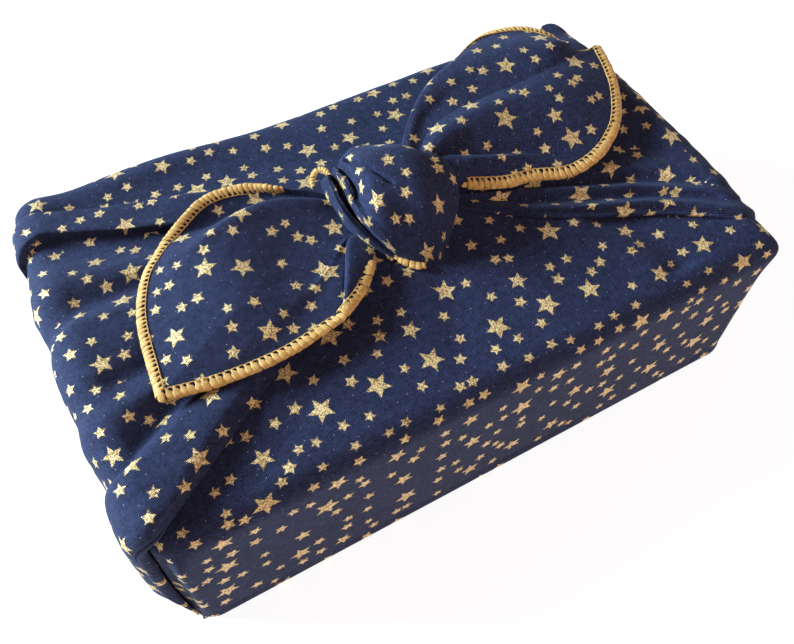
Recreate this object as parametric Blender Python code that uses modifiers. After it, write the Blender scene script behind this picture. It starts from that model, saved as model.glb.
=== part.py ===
"""A furoshiki wrap: one square of printed cotton folded and tied round a box.

Metres, +Z up. The wrapped box stands on z = 0 with its long sides along X. The front and back of the
cloth lie flat over the box, the two ends are gathered into bundles that climb the short sides, and the
bundles are tied on the top, so that two free corners of the cloth stand out of the knot as ears.
"""

import math

import bmesh
import bpy
import numpy as np

# Driving sizes, in metres
HALF_LENGTH = 0.1555  # from the middle to the plain cloth of the ends, under the gathers
HALF_WIDTH = 0.0988  # from the middle to the cloth of the long sides
TOP = 0.0890  # height of the flat cloth on the top
CLOTH = 0.002  # thickness of the cloth
GAP = 0.0004  # play between the cloth and the box
UPRIGHT_RADIUS = 0.005  # rounding of the upright edges
SMALLEST_RADIUS = 0.0006  # an upright edge's rounding where the top or the foot has eaten it up
TOP_RADIUS = 0.0065  # rounding of the top edge
FOOT_RADIUS = 0.0035  # rounding of the bottom edge
BOX_RADIUS = 0.009  # rounding of the box inside, which leaves the cloth free at its edges
BOX_STEPS = 2
END_BULGE = 0.0008  # how far the gathered ends stand out at half height
MM = 0.001

# The throat is the oval under the knot where the cloth of the top ends
THROAT = {"x": 0.0, "y": 0.002, "half_x": 0.008, "half_y": 0.009}

# How a line of cloth runs from the throat to the edge of the top. "at" is where it meets that edge,
# measured along the side from its middle; "rise" is its height at the throat; "bow" pushes it to the back.
FAN = (
    {"side": "front", "at": 0, "rise": 4, "bow": 0},
    {"side": "right", "at": -75, "rise": 8, "bow": -8},
    {"side": "right", "at": -20, "rise": 15, "bow": -2},
    {"side": "right", "at": 40, "rise": 15, "bow": 5},
    {"side": "right", "at": 92, "rise": 7, "bow": 14},
    {"side": "back", "at": 0, "rise": 3, "bow": 0},
    {"side": "left", "at": 93, "rise": 7, "bow": 19},
    {"side": "left", "at": 72, "rise": 8, "bow": 6},
    {"side": "left", "at": 30, "rise": 15, "bow": 1},
    {"side": "left", "at": -40, "rise": 14, "bow": 0},
    {"side": "left", "at": -95, "rise": 8, "bow": 0},
)

# A bundle lies on the flat cloth between a front and a back edge, in mm along its end
BUNDLES = (
    {"side": "left", "front": -97, "back": 95, "knot": 2.0, "top": 3.0, "edge": 2.4, "low": 1.6},
    {"side": "right", "front": -75, "back": 93, "knot": 2.0, "top": 3.2, "edge": 2.2, "low": 1.6},
)
BUNDLE_STEP = 2.2  # mm over which a bundle's edge drops to the cloth under it
BUNDLE_TUCK = 1.6  # mm by which that edge overhangs

# The main folds of the bundles. "at" is in mm along the end, + to the back; "front" and "back" are how far
# the fold falls away to each side, "tuck" is how far its crest leans to the front, and the rest are its
# heights from the knot down to the foot.
FOLD_COLUMNS = ("side", "at", "front", "back", "tuck", "knot", "top", "edge", "low")
FOLD_ROWS = (
    ("left", 76, 3, 18, 2.2, 3.0, 3.2, 2.0, 1.6),
    ("left", 58, 11, 8, 0.0, 2.0, 2.6, 1.4, 1.8),
    ("left", 31, 12, 13, 0.6, 2.0, 2.6, 2.2, 2.6),
    ("left", 4, 15, 9, 0.8, 2.0, 2.4, 1.6, 2.2),
    ("left", -30, 10, 17, 0.8, 2.0, 3.0, 2.2, 2.6),
    ("left", -60, 17, 8, 0.8, 2.0, 3.0, 1.6, 2.2),
    ("left", -90, 5, 16, 1.0, 2.0, 2.6, 2.0, 2.4),
    ("right", -67, 6, 9, 1.2, 3.0, 3.0, 2.0, 1.8),
    ("right", -42, 9, 15, 0.8, 2.0, 2.4, 1.8, 2.4),
    ("right", -10, 14, 12, 0.6, 2.0, 2.4, 1.6, 2.6),
    ("right", 24, 10, 14, 0.8, 2.0, 2.6, 2.2, 2.2),
    ("right", 57, 14, 8, 0.8, 2.0, 2.8, 1.6, 2.6),
    ("right", 84, 10, 9, 1.0, 2.0, 3.0, 2.0, 2.0),
)
FOLDS = tuple(dict(zip(FOLD_COLUMNS, row)) for row in FOLD_ROWS)
FOLD_SLIDE = 0.34  # how strongly the folds of an end draw apart towards its lower corners

# A level is a place on the way from the throat to the bottom: 0 to 1 over the top, 1 to 2 round its edge,
# 2 to 3 down the side and 3 to 4 round the foot. These are the levels of the height columns above.
COLUMN_LEVELS = {"knot": 0.0, "top": 0.5, "edge": 1.4, "low": 2.7}
FLAT_LEVEL = 3.3
TOP_LEVELS = (0.0, 0.1, 0.22, 0.36, 0.52, 0.68, 0.84, 1.0)
SIDE_LEVELS = (1.33, 1.66, 2.0, 2.25, 2.5, 2.75, 3.0, 3.33, 3.66, 4.0)
INNER_LEVELS = (0.0, 0.15, 0.35, 0.65, 1.0, 1.5, 2.0, 3.0, 3.5, 4.0)
PLAIN_SPOKES = 46  # lines of the net between the folds
SPOKE_CLEAR = 0.0016  # the least distance between two of them, round the plan
BOW_FULL = 27 / 4  # makes the bow's largest push, a third of the way out, its table value
RISE_FALL = 2.2  # how steeply the rise falls away from the throat
LEAN_FROM = 2 / 3  # the part of the way out from which the folds lean fully
SHARP_FROM_DEG = 50

# The knot is a loft along its own axis, which is turned a little from X. Sizes in mm.
KNOT_PLACE = {"x": 1.5, "y": -2.5, "turn_deg": 15.0}
KNOT = (
    {"along": -28.0, "reach": 5, "high": 20, "low": 14},
    {"along": -25.5, "reach": 20, "high": 27, "low": 9},
    {"along": -22.0, "reach": 26, "high": 31, "low": 8},
    {"along": -18.0, "reach": 23, "high": 28, "low": 8},
    {"along": -14.5, "reach": 28, "high": 34, "low": 7.5},
    {"along": -11.5, "reach": 27, "high": 33, "low": 7.5},
    {"along": -5.0, "reach": 32, "high": 39, "low": 7},
    {"along": 5.0, "reach": 34, "high": 40, "low": 7},
    {"along": 15.0, "reach": 31, "high": 37, "low": 7.5},
    {"along": 23.0, "reach": 24, "high": 31, "low": 8},
    {"along": 28.0, "reach": 11, "high": 23, "low": 13},
)
KNOT_SIDES = 20
KNOT_ROUND = 0.86  # below 1 the sections are fuller than ovals

# An ear is a fan of ribs from the knot to its edge. Each rib has its start in the knot, its middle and its
# end, in mm from the middle of the top. A rib marked as a corner keeps the edge sharp there.
LEFT_EAR = (
    {"start": (-10, 11, 20), "middle": (-23, 22, 18), "end": (-34, 34, 14), "corner": False},
    {"start": (-10, 10, 22), "middle": (-36, 31, 17), "end": (-54, 48, 14.5), "corner": False},
    {"start": (-10, 8, 23), "middle": (-49, 29, 22), "end": (-82, 44, 14), "corner": False},
    {"start": (-10, 6, 24), "middle": (-61, 21, 23), "end": (-106, 29, 12.5), "corner": False},
    {"start": (-10, 3, 24), "middle": (-67, 7, 21), "end": (-120, 0, 11), "corner": False},
    {"start": (-10, 0, 24), "middle": (-67, -8, 20), "end": (-124, -37, 10.5), "corner": True},
    {"start": (-10, -3, 22), "middle": (-52, -17, 19), "end": (-90, -44, 11), "corner": False},
    {"start": (-10, -7, 19), "middle": (-37, -21, 16), "end": (-60, -44, 12), "corner": False},
    {"start": (-10, -10, 17), "middle": (-21, -19, 15), "end": (-31, -30, 13), "corner": False},
)
RIGHT_EAR = (
    {"start": (18, -12, 18), "middle": (26, -12, 18), "end": (34, -11.5, 17.5), "corner": False},
    {"start": (18, -8, 22), "middle": (35, -6, 22.5), "end": (51, -10.5, 16.5), "corner": False},
    {"start": (18, -5, 24), "middle": (48, -2, 25), "end": (76, -14, 13), "corner": False},
    {"start": (18, -2, 25), "middle": (57, 4, 22), "end": (96, -18, 13), "corner": True},
    {"start": (17, 1, 26), "middle": (63, 12, 27), "end": (122, -3, 15), "corner": False},
    {"start": (16, 4, 28), "middle": (67, 22, 33), "end": (141, 20, 19), "corner": False},
    {"start": (15, 7, 28), "middle": (70, 30, 33), "end": (143, 38, 22), "corner": True},
    {"start": (14, 9, 28), "middle": (66, 38, 35), "end": (119, 65, 23), "corner": False},
    {"start": (13, 11, 28), "middle": (54, 42, 35), "end": (92, 70, 23), "corner": False},
    {"start": (12, 13, 27), "middle": (39, 36, 33), "end": (64, 57, 23), "corner": False},
    {"start": (11, 14, 26), "middle": (21, 24, 29), "end": (32, 33, 26), "corner": False},
)
EAR_ROWS = 9  # rows of the net from the knot to an ear's edge
EAR_STEPS = 3  # columns of the net between two ribs

EDGING_WIDTH = 0.0046  # band of stitching round an ear's edge
EDGING_THICK = 0.0032
EDGING_CLEAR = 0.0009  # from the end of the cloth to the band
EDGING_SIDES = 8

SURFACES = (
    {"name": "navy_cotton", "colour": (0.012, 0.022, 0.085, 1.0), "roughness": 0.85},
    {"name": "mustard_thread", "colour": (0.55, 0.30, 0.05, 1.0), "roughness": 0.6},
    {"name": "plain_card", "colour": (0.42, 0.30, 0.18, 1.0), "roughness": 0.8},
)


def clear_scene():
    """Start from nothing."""
    for thing in list(bpy.data.objects):
        bpy.data.objects.remove(thing, do_unlink=True)


def collection(name):
    """A new collection in the scene."""
    made = bpy.data.collections.new(name)
    bpy.context.scene.collection.children.link(made)
    return made


def material(name, colour, roughness):
    """A plain Principled material."""
    made = bpy.data.materials.new(name)
    made.use_nodes = True
    shader = made.node_tree.nodes["Principled BSDF"]
    shader.inputs["Base Color"].default_value = colour
    shader.inputs["Roughness"].default_value = roughness
    made.diffuse_color = colour
    return made


def add_object(name, mesh, home, surface):
    """An object of its own, with its material, in its collection."""
    made = bpy.data.objects.new(name, mesh)
    home.objects.link(made)
    mesh.materials.append(surface)
    return made


def hide_as_helper(thing):
    """A shape that only joins or cuts another one."""
    thing.hide_render = True
    thing.display_type = "WIRE"


def eased(places, values, at):
    """Values between the given places, with a soft start and end to each step."""
    places, values, at = np.asarray(places, float), np.asarray(values, float), np.asarray(at, float)
    row = np.clip(np.searchsorted(places, at, side="right") - 1, 0, len(places) - 2)
    part = np.clip((at - places[row]) / (places[row + 1] - places[row]), 0.0, 1.0)
    part = part * part * (3.0 - 2.0 * part)
    return values[row] + (values[row + 1] - values[row]) * part


def through(points, at):
    """Points on a smooth curve through the given ones; at counts from 0 at the first to 1 at the last."""
    points = np.asarray(points, float)
    place = np.asarray(at, float) * (len(points) - 1)
    row = np.clip(place.astype(int), 0, len(points) - 2)
    part = (place - row)[:, None]
    before = np.where(row[:, None] > 0, points[row - 1], 2 * points[row] - points[row + 1])
    last = np.minimum(row + 2, len(points) - 1)
    after = np.where(row[:, None] + 2 < len(points), points[last], 2 * points[row + 1] - points[row])
    slope_in = (points[row + 1] - before) / 2.0
    slope_out = (after - points[row]) / 2.0
    step = points[row + 1] - points[row]
    return (
        points[row]
        + slope_in * part
        + (3 * step - 2 * slope_in - slope_out) * part**2
        + (slope_in + slope_out - 2 * step) * part**3
    )


# The plan of the wrap: a rectangle with round corners, walked from the front left corner

AROUND = 4 * (HALF_LENGTH + HALF_WIDTH)
MIDDLES = {
    "front": HALF_LENGTH,
    "right": 2 * HALF_LENGTH + HALF_WIDTH,
    "back": 3 * HALF_LENGTH + 2 * HALF_WIDTH,
    "left": 4 * HALF_LENGTH + 3 * HALF_WIDTH,
}
TOWARDS_BACK = {"right": 1.0, "left": -1.0}


def along_end(along, side):
    """Signed distance along an end from its middle, + to the back, in mm. Beyond the end it runs on."""
    away = (along - MIDDLES[side] + AROUND / 2) % AROUND - AROUND / 2
    return TOWARDS_BACK[side] * away / MM


def place_along(side, at):
    """The distance round the plan of a place given along one side in mm."""
    if side in TOWARDS_BACK:
        at = TOWARDS_BACK[side] * at
    return (MIDDLES[side] + at * MM) % AROUND


def outline(along, inset):
    """Plan points and outward directions of the wrap at distances round it, drawn in by an inset."""
    signs = np.array([[-1.0, -1.0], [1.0, -1.0], [1.0, 1.0], [-1.0, 1.0]])
    corners = signs * (HALF_LENGTH - inset, HALF_WIDTH - inset)
    lengths = 2 * np.array([HALF_LENGTH, HALF_WIDTH, HALF_LENGTH, HALF_WIDTH])
    starts = np.concatenate([[0.0], np.cumsum(lengths)[:3]])
    travel = np.array([[1.0, 0.0], [0.0, 1.0], [-1.0, 0.0], [0.0, -1.0]])
    outward = np.array([[0.0, -1.0], [1.0, 0.0], [0.0, 1.0], [-1.0, 0.0]])
    radius = max(UPRIGHT_RADIUS - inset, SMALLEST_RADIUS)
    along = np.asarray(along, float) % AROUND
    side = np.searchsorted(starts, along, side="right") - 1
    straight = (along - starts[side] - UPRIGHT_RADIUS) / (lengths[side] - 2 * UPRIGHT_RADIUS)
    walked = radius + straight * (lengths[side] - 2 * inset - 2 * radius)
    points = corners[side] + travel[side] * walked[:, None]
    directions = outward[side].copy()
    for corner in range(4):
        off = (along - starts[corner] + AROUND / 2) % AROUND - AROUND / 2
        near = np.abs(off) < UPRIGHT_RADIUS
        turn = (off[near] / UPRIGHT_RADIUS + 1.0) * math.pi / 4
        facing = outward[corner - 1] * np.cos(turn)[:, None] + outward[corner] * np.sin(turn)[:, None]
        centre = corners[corner] - (outward[corner - 1] + outward[corner]) * radius
        points[near] = centre + facing * radius
        directions[near] = facing
    return points, directions


def drawn_apart(along, depth):
    """Folds on an end spread towards its lower corners; depth is 0 at its top and 1 at its foot."""
    moved = np.array(along, float)
    for side, sign in TOWARDS_BACK.items():
        at = along_end(moved, side) * MM
        on_end = np.abs(at) < HALF_WIDTH
        shift = at * FOLD_SLIDE * depth * (1.0 - (at / HALF_WIDTH) ** 2)
        moved = np.where(on_end, moved + sign * shift, moved)
    return moved


def column(row, level):
    """A row's height at a level, eased between its named columns."""
    places = [*COLUMN_LEVELS.values(), FLAT_LEVEL]
    heights = [row[name] for name in COLUMN_LEVELS] + [0.0]
    return float(eased(places, heights, level))


def fan_value(name, along):
    """A column of the fan table at distances round the plan."""
    rows = sorted((place_along(row["side"], row["at"]), row[name]) for row in FAN)
    places = [place for place, _ in rows]
    values = [value for _, value in rows]
    places = [places[-1] - AROUND, *places, places[0] + AROUND]
    values = [values[-1], *values, values[0]]
    return eased(places, values, np.asarray(along) % AROUND) * MM


def gathers(along, level):
    """Height of the gathered cloth over the flat cloth, and how far it leans to the back, in metres."""
    height = np.zeros(len(along))
    lean = np.zeros(len(along))
    for bundle in BUNDLES:
        at = along_end(along, bundle["side"])
        inside = np.minimum(at - bundle["front"], bundle["back"] - at)
        cover = eased([-BUNDLE_STEP / 2, BUNDLE_STEP / 2], [0.0, 1.0], inside)
        height += cover * column(bundle, level)
        brink = np.exp(-((inside / BUNDLE_STEP) ** 2)) * cover
        lean += brink * BUNDLE_TUCK * np.sign(at) * min(1.0, column(bundle, level))
    for fold in FOLDS:
        at = along_end(along, fold["side"]) - fold["at"]
        reach = np.where(at < 0, fold["front"], fold["back"])
        swell = np.where(np.abs(at) < reach, np.cos(at / reach * math.pi / 2) ** 2, 0.0)
        height += swell * column(fold, level)
        lean -= swell * fold["tuck"] * min(1.0, column(fold, level))
    return height * MM, lean * MM


def ring(along, level, inside=0.0):
    """One closed line round the wrap at a level, or the same line inside the cloth and without folds."""
    top_part = min(level, 1.0)
    turn = min(max(level - 1.0, 0.0), 1.0) * math.pi / 2
    depth = min(max(level - 2.0, 0.0), 1.0)
    foot_turn = min(max(level - 3.0, 0.0), 1.0) * math.pi / 2
    sideways = math.sin(turn) * math.cos(foot_turn)
    upward = math.cos(turn) - math.sin(foot_turn)
    rounding = TOP_RADIUS * (1.0 - math.sin(turn)) + FOOT_RADIUS * (1.0 - math.cos(foot_turn))
    plan, out = outline(drawn_apart(along, depth), rounding + inside * sideways)
    bulge = END_BULGE * math.sin(math.pi * depth) * out[:, 0]
    reach = plan + np.stack([bulge, np.zeros(len(along))], axis=1)
    centre = np.array([THROAT["x"], THROAT["y"]])
    aim = reach - centre
    angle = np.arctan2(aim[:, 1], aim[:, 0])
    throat = centre + np.stack([THROAT["half_x"] * np.cos(angle), THROAT["half_y"] * np.sin(angle)], axis=1)
    points = np.zeros((len(along), 3))
    points[:, :2] = throat + (reach - throat) * top_part
    points[:, 1] += fan_value("bow", along) * BOW_FULL * top_part * (1.0 - top_part) ** 2
    side_height = TOP - TOP_RADIUS * (1.0 - math.cos(turn)) - (TOP - TOP_RADIUS - FOOT_RADIUS) * depth
    points[:, 2] = side_height - FOOT_RADIUS * math.sin(foot_turn) - inside * upward
    points[:, 2] += fan_value("rise", along) * (1.0 - top_part) ** RISE_FALL
    if not inside:
        height, lean = gathers(along, level)
        points[:, :2] += out * (height * sideways)[:, None]
        points[:, 2] += height * upward
        points[:, 1] += lean * np.sqrt(np.abs(out[:, 0])) * min(1.0, top_part / LEAN_FROM)
    return points


def spokes():
    """Distances round the plan of the net's lines: even ones, and more at every fold and bundle edge."""
    places = [AROUND * step / PLAIN_SPOKES for step in range(PLAIN_SPOKES)]
    for fold in FOLDS:
        for at in (fold["at"], fold["at"] - fold["front"], fold["at"] + fold["back"]):
            places.append(place_along(fold["side"], at))
    for side in MIDDLES:
        reach = (HALF_WIDTH if side in TOWARDS_BACK else HALF_LENGTH) / MM
        for off in (0.0, UPRIGHT_RADIUS / MM / 2, UPRIGHT_RADIUS / MM):
            places += [place_along(side, off - reach), place_along(side, reach - off)]
    for bundle in BUNDLES:
        for brink in ("front", "back"):
            for off in (-1, 0, 1):
                places.append(place_along(bundle["side"], bundle[brink] + off * BUNDLE_STEP))
    kept = []
    for place in sorted(places):
        if not kept or place - kept[-1] > SPOKE_CLEAR:
            kept.append(place)
    return np.array(kept)


def loft(name, rings):
    """A mesh through closed rings of equal counts, with a flat face on each end."""
    rings = np.asarray(rings)
    rows, count = rings.shape[:2]
    faces = []
    for row in range(rows - 1):
        for i in range(count):
            here, beside = row * count + i, row * count + (i + 1) % count
            faces.append((here, beside, beside + count, here + count))
    faces.append(tuple(reversed(range(count))))
    faces.append(tuple((rows - 1) * count + i for i in range(count)))
    mesh = bpy.data.meshes.new(name)
    mesh.from_pydata(rings.reshape(-1, 3).tolist(), [], faces)
    faced = bmesh.new()
    faced.from_mesh(mesh)
    bmesh.ops.recalc_face_normals(faced, faces=faced.faces)
    faced.to_mesh(mesh)
    faced.free()
    mesh.shade_smooth()
    mesh.set_sharp_from_angle(angle=math.radians(SHARP_FROM_DEG))
    return mesh


def wrapped_body():
    """The cloth round the box: from the foot up to the throat, and back down inside the cloth."""
    along = spokes()
    outer = [ring(along, level) for level in reversed(TOP_LEVELS + SIDE_LEVELS)]
    inner = [ring(along, level, CLOTH) for level in INNER_LEVELS]
    return loft("wrap_cloth", outer + inner)


def knot_body():
    """The knot: a band of cloth that goes over the crossing, with a rolled fold down its left side."""
    turn = math.radians(KNOT_PLACE["turn_deg"])
    axis = np.array([math.cos(turn), math.sin(turn), 0.0])
    band = np.array([-math.sin(turn), math.cos(turn), 0.0])
    around = np.arange(KNOT_SIDES) / KNOT_SIDES * 2 * math.pi
    rings = []
    for section in KNOT:
        across = np.sign(np.cos(around)) * np.abs(np.cos(around)) ** KNOT_ROUND * section["reach"]
        height = (section["high"] - section["low"]) / 2
        middle = (section["high"] + section["low"]) / 2
        up = middle + height * np.sign(np.sin(around)) * np.abs(np.sin(around)) ** KNOT_ROUND
        centre = np.array([KNOT_PLACE["x"], KNOT_PLACE["y"], 0.0]) + axis * section["along"]
        points = (centre + band * across[:, None]) * MM
        points[:, 2] = TOP + up * MM
        rings.append(points)
    return loft("knot", rings)


def ear_columns(ribs):
    """Start, middle and end of every column of an ear's net; a corner keeps its point."""
    breaks = [0] + [i for i, rib in enumerate(ribs) if rib["corner"]] + [len(ribs) - 1]
    found = {"start": [], "middle": [], "end": []}
    for first, last in zip(breaks[:-1], breaks[1:]):
        steps = (last - first) * EAR_STEPS
        at = np.arange(steps + (last == len(ribs) - 1)) / steps
        for part in found:
            found[part].append(through([rib[part] for rib in ribs[first : last + 1]], at))
    return {part: np.concatenate(rows) * MM for part, rows in found.items()}


def ear_net(ribs):
    """The cloth of an ear as rows of points from the knot to its edge."""
    columns = ear_columns(ribs)
    start, middle, end = columns["start"], columns["middle"], columns["end"]
    pull = 2 * middle - (start + end) / 2
    rows = []
    for row in range(EAR_ROWS + 1):
        part = row / EAR_ROWS
        rows.append((1 - part) ** 2 * start + 2 * part * (1 - part) * pull + part**2 * end)
    net = np.array(rows)
    net[:, :, 2] += TOP
    return net


def ear_object(name, ribs, home, surface):
    """An ear: its net of points, thickened to the cloth."""
    net = ear_net(ribs)
    rows, count = net.shape[:2]
    faces = []
    for row in range(rows - 1):
        for i in range(count - 1):
            here = row * count + i
            faces.append((here, here + 1, here + 1 + count, here + count))
    mesh = bpy.data.meshes.new(name)
    mesh.from_pydata(net.reshape(-1, 3).tolist(), [], faces)
    mesh.shade_smooth()
    made = add_object(name, mesh, home, surface)
    thick = made.modifiers.new("cloth", "SOLIDIFY")
    thick.thickness = CLOTH
    thick.offset = 0.0
    hide_as_helper(made)
    return made


def unit(vectors):
    """Vectors of length 1."""
    return vectors / np.linalg.norm(vectors, axis=1)[:, None]


def edging_mesh(name, ribs):
    """The band of stitching along an ear's edge, a little clear of the cloth and mitred at its corners."""
    net = ear_net(ribs)
    edge = net[-1]
    steps = unit(np.diff(edge, axis=0))
    arriving = np.concatenate([steps[:1], steps])
    leaving = np.concatenate([steps, steps[-1:]])
    forward = unit(arriving + leaving)
    mitre = 1.0 / np.sum(forward * leaving, axis=1)
    outward = edge - net[-2]
    outward[:EAR_STEPS] = outward[EAR_STEPS]
    outward[-EAR_STEPS:] = outward[-EAR_STEPS - 1]
    outward = unit(outward - forward * np.sum(outward * forward, axis=1)[:, None])
    upward = np.cross(forward, outward)
    around = np.arange(EDGING_SIDES) / EDGING_SIDES * 2 * math.pi
    away = EDGING_WIDTH / 2 * (1.0 + np.cos(around)) + EDGING_CLEAR
    rings = []
    for at, out, up, stretch in zip(edge, outward, upward, mitre):
        rings.append(at + away[:, None] * out * stretch + np.sin(around)[:, None] * up * EDGING_THICK / 2)
    return loft(name, rings)


def inner_box(home, surface):
    """The plain box that the cloth is tied round."""
    clear = CLOTH + GAP
    made_mesh = bpy.data.meshes.new("inner_box")
    block = bmesh.new()
    bmesh.ops.create_cube(block, size=1.0)
    size = (2 * (HALF_LENGTH - clear), 2 * (HALF_WIDTH - clear), TOP - 2 * clear)
    bmesh.ops.scale(block, verts=block.verts, vec=size)
    bmesh.ops.translate(block, verts=block.verts, vec=(0.0, 0.0, TOP / 2))
    block.to_mesh(made_mesh)
    block.free()
    made = add_object("inner_box", made_mesh, home, surface)
    rounding = made.modifiers.new("rounding", "BEVEL")
    rounding.width = BOX_RADIUS
    rounding.segments = BOX_STEPS
    return made


def join_to(body, other):
    """Make the other shape one cloth with the body."""
    join = body.modifiers.new("join_" + other.name, "BOOLEAN")
    join.operation = "UNION"
    join.solver = "EXACT"
    join.object = other


def build():
    """Every piece of the wrap."""
    clear_scene()
    parts = collection("furoshiki_wrap")
    helpers = collection("joined_shapes")
    cotton, thread, card = (material(**row) for row in SURFACES)

    cloth = add_object("wrap_cloth", wrapped_body(), parts, cotton)
    knot = add_object("knot", knot_body(), helpers, cotton)
    hide_as_helper(knot)
    join_to(cloth, knot)
    for name, ribs in (("left_ear", LEFT_EAR), ("right_ear", RIGHT_EAR)):
        join_to(cloth, ear_object(name, ribs, helpers, cotton))
        add_object(name + "_edging", edging_mesh(name + "_edging", ribs), parts, thread)
    inner_box(parts, card)


build()
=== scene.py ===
"""The looks of a furoshiki wrap: navy cotton printed with gold stars, tied round a box. Metres, +Z up.

The cloth is laid over the solids as thin sheets: the flat panels, a gathered bundle on each end, the knot and
two ears, whose edges carry overcast stitches made loop by loop. Points are worked out row by row from small
tables in mm. Sizes of the flat cloth and of the studio are in metres, and meshes are made in metres.
"""

import math

import bmesh
import bpy
import mathutils
import numpy as np
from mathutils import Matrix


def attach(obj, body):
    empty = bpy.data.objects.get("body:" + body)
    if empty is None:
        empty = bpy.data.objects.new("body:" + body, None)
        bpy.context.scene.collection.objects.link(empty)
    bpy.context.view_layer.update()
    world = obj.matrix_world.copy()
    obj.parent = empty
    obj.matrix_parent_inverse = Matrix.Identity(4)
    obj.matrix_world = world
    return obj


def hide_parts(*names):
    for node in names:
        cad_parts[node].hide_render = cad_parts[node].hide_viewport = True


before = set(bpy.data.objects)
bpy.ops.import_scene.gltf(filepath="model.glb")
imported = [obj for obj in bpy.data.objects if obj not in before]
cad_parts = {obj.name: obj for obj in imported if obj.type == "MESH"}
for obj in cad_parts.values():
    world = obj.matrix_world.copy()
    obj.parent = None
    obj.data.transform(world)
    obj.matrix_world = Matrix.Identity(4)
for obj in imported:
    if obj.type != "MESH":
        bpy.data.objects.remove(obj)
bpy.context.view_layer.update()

MM = 0.001
TOP = 0.0890  # height of the flat cloth on the top
MIDDLE_OF_TOP = (0, 0, TOP / MM)
ONE_POINT = 1e-6  # metres within which two points of a seam are one
TINY = 1e-12  # keeps a length that is divided by off zero

# ---------------------------------------------------------------------------------------------------------
# Small tools
# ---------------------------------------------------------------------------------------------------------


def soft_step(part):
    """0 to 1 with a soft start and end: three times the square less twice the cube."""
    return part * part * (3.0 - 2.0 * part)


def cubic(start, step, slope_in, slope_out, part):
    """The cubic that leaves start with one slope and arrives one step on with the other."""
    square = (3 * step - 2 * slope_in - slope_out) * part**2
    return start + slope_in * part + square + (slope_in + slope_out - 2 * step) * part**3


def eased(places, values, at):
    """Values between the given places, with a soft step from each to the next."""
    places, values, at = np.asarray(places, float), np.asarray(values, float), np.asarray(at, float)
    row = np.clip(np.searchsorted(places, at, side="right") - 1, 0, len(places) - 2)
    part = np.clip((at - places[row]) / (places[row + 1] - places[row]), 0.0, 1.0)
    return values[row] + (values[row + 1] - values[row]) * soft_step(part)


def through(points, at):
    """Points on a smooth curve through the given ones; at counts from 0 at the first to 1 at the last.

    Each stretch is a cubic whose slope at a point is half the step from the point before to the one after.
    """
    points = np.asarray(points, float)
    place = np.asarray(at, float) * (len(points) - 1)
    row = np.clip(place.astype(int), 0, len(points) - 2)
    part = (place - row)[:, None]
    before = np.where(row[:, None] > 0, points[row - 1], 2 * points[row] - points[row + 1])
    last = np.minimum(row + 2, len(points) - 1)
    after = np.where(row[:, None] + 2 < len(points), points[last], 2 * points[row + 1] - points[row])
    step = points[row + 1] - points[row]
    return cubic(points[row], step, (points[row + 1] - before) / 2.0, (after - points[row]) / 2.0, part)


def flowing(places, values, at):
    """Values at one place, on a smooth curve through the values given at uneven places."""
    places, values = np.asarray(places, float), np.asarray(values, float)
    slopes = np.gradient(values, places, axis=0)
    at = min(max(at, places[0]), places[-1])
    row = min(int(np.searchsorted(places, at, side="right")) - 1, len(places) - 2)
    width = places[row + 1] - places[row]
    step = values[row + 1] - values[row]
    return cubic(values[row], step, slopes[row] * width, slopes[row + 1] * width, (at - places[row]) / width)


def stretches(stops, counts):
    """Numbers from stop to stop, each stretch in its own count of even steps."""
    parts = [np.linspace(a, b, count) for a, b, count in zip(stops[:-1], stops[1:], counts)]
    return np.concatenate([part[:-1] for part in parts[:-1]] + [parts[-1]])


def unit(vectors):
    """Vectors of length 1."""
    return vectors / np.maximum(np.linalg.norm(vectors, axis=-1, keepdims=True), TINY)


def square_to(vectors, direction):
    """The part of each vector that is square to a unit direction, with length 1."""
    return unit(vectors - direction * np.sum(vectors * direction, axis=-1, keepdims=True))


def normals_of(net):
    """Unit normals of a net of points, by the differences along its rows and columns."""
    return unit(np.cross(np.gradient(net, axis=1), np.gradient(net, axis=0)))


RIPPLE_WAVES, RIPPLE_SPREAD = 9, (0.6, 1.5)


def ripple(places, size, seed):
    """Soft even noise from -1 to 1: a sum of sines in random directions, with waves of about one size."""
    waves = np.random.default_rng(seed)
    total = np.zeros(places.shape[:-1])
    for _ in range(RIPPLE_WAVES):
        heading = waves.normal(size=places.shape[-1])
        heading *= 2 * math.pi / size * waves.uniform(*RIPPLE_SPREAD) / np.linalg.norm(heading)
        total += np.sin(places @ heading + waves.uniform(0, 2 * math.pi))
    return total / (RIPPLE_WAVES / 2)


def ripples(places, rows):
    """The sum of several ripples, each with its height, wave length and seed."""
    return sum(high * ripple(places, size, seed) for high, size, seed in rows)


def crease(high, reach, path, sharp=2, fade=(0.15, 0.15)):
    """A ridge (high > 0) or trough, given in mm, with its reach to the left and right of its path.

    A sharpness of 1 gives a crease, 2 a soft swell. It fades in and out over two shares of its length.
    """
    return {"high": high, "reach": reach, "path": path, "sharp": sharp, "fade": fade}


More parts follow.
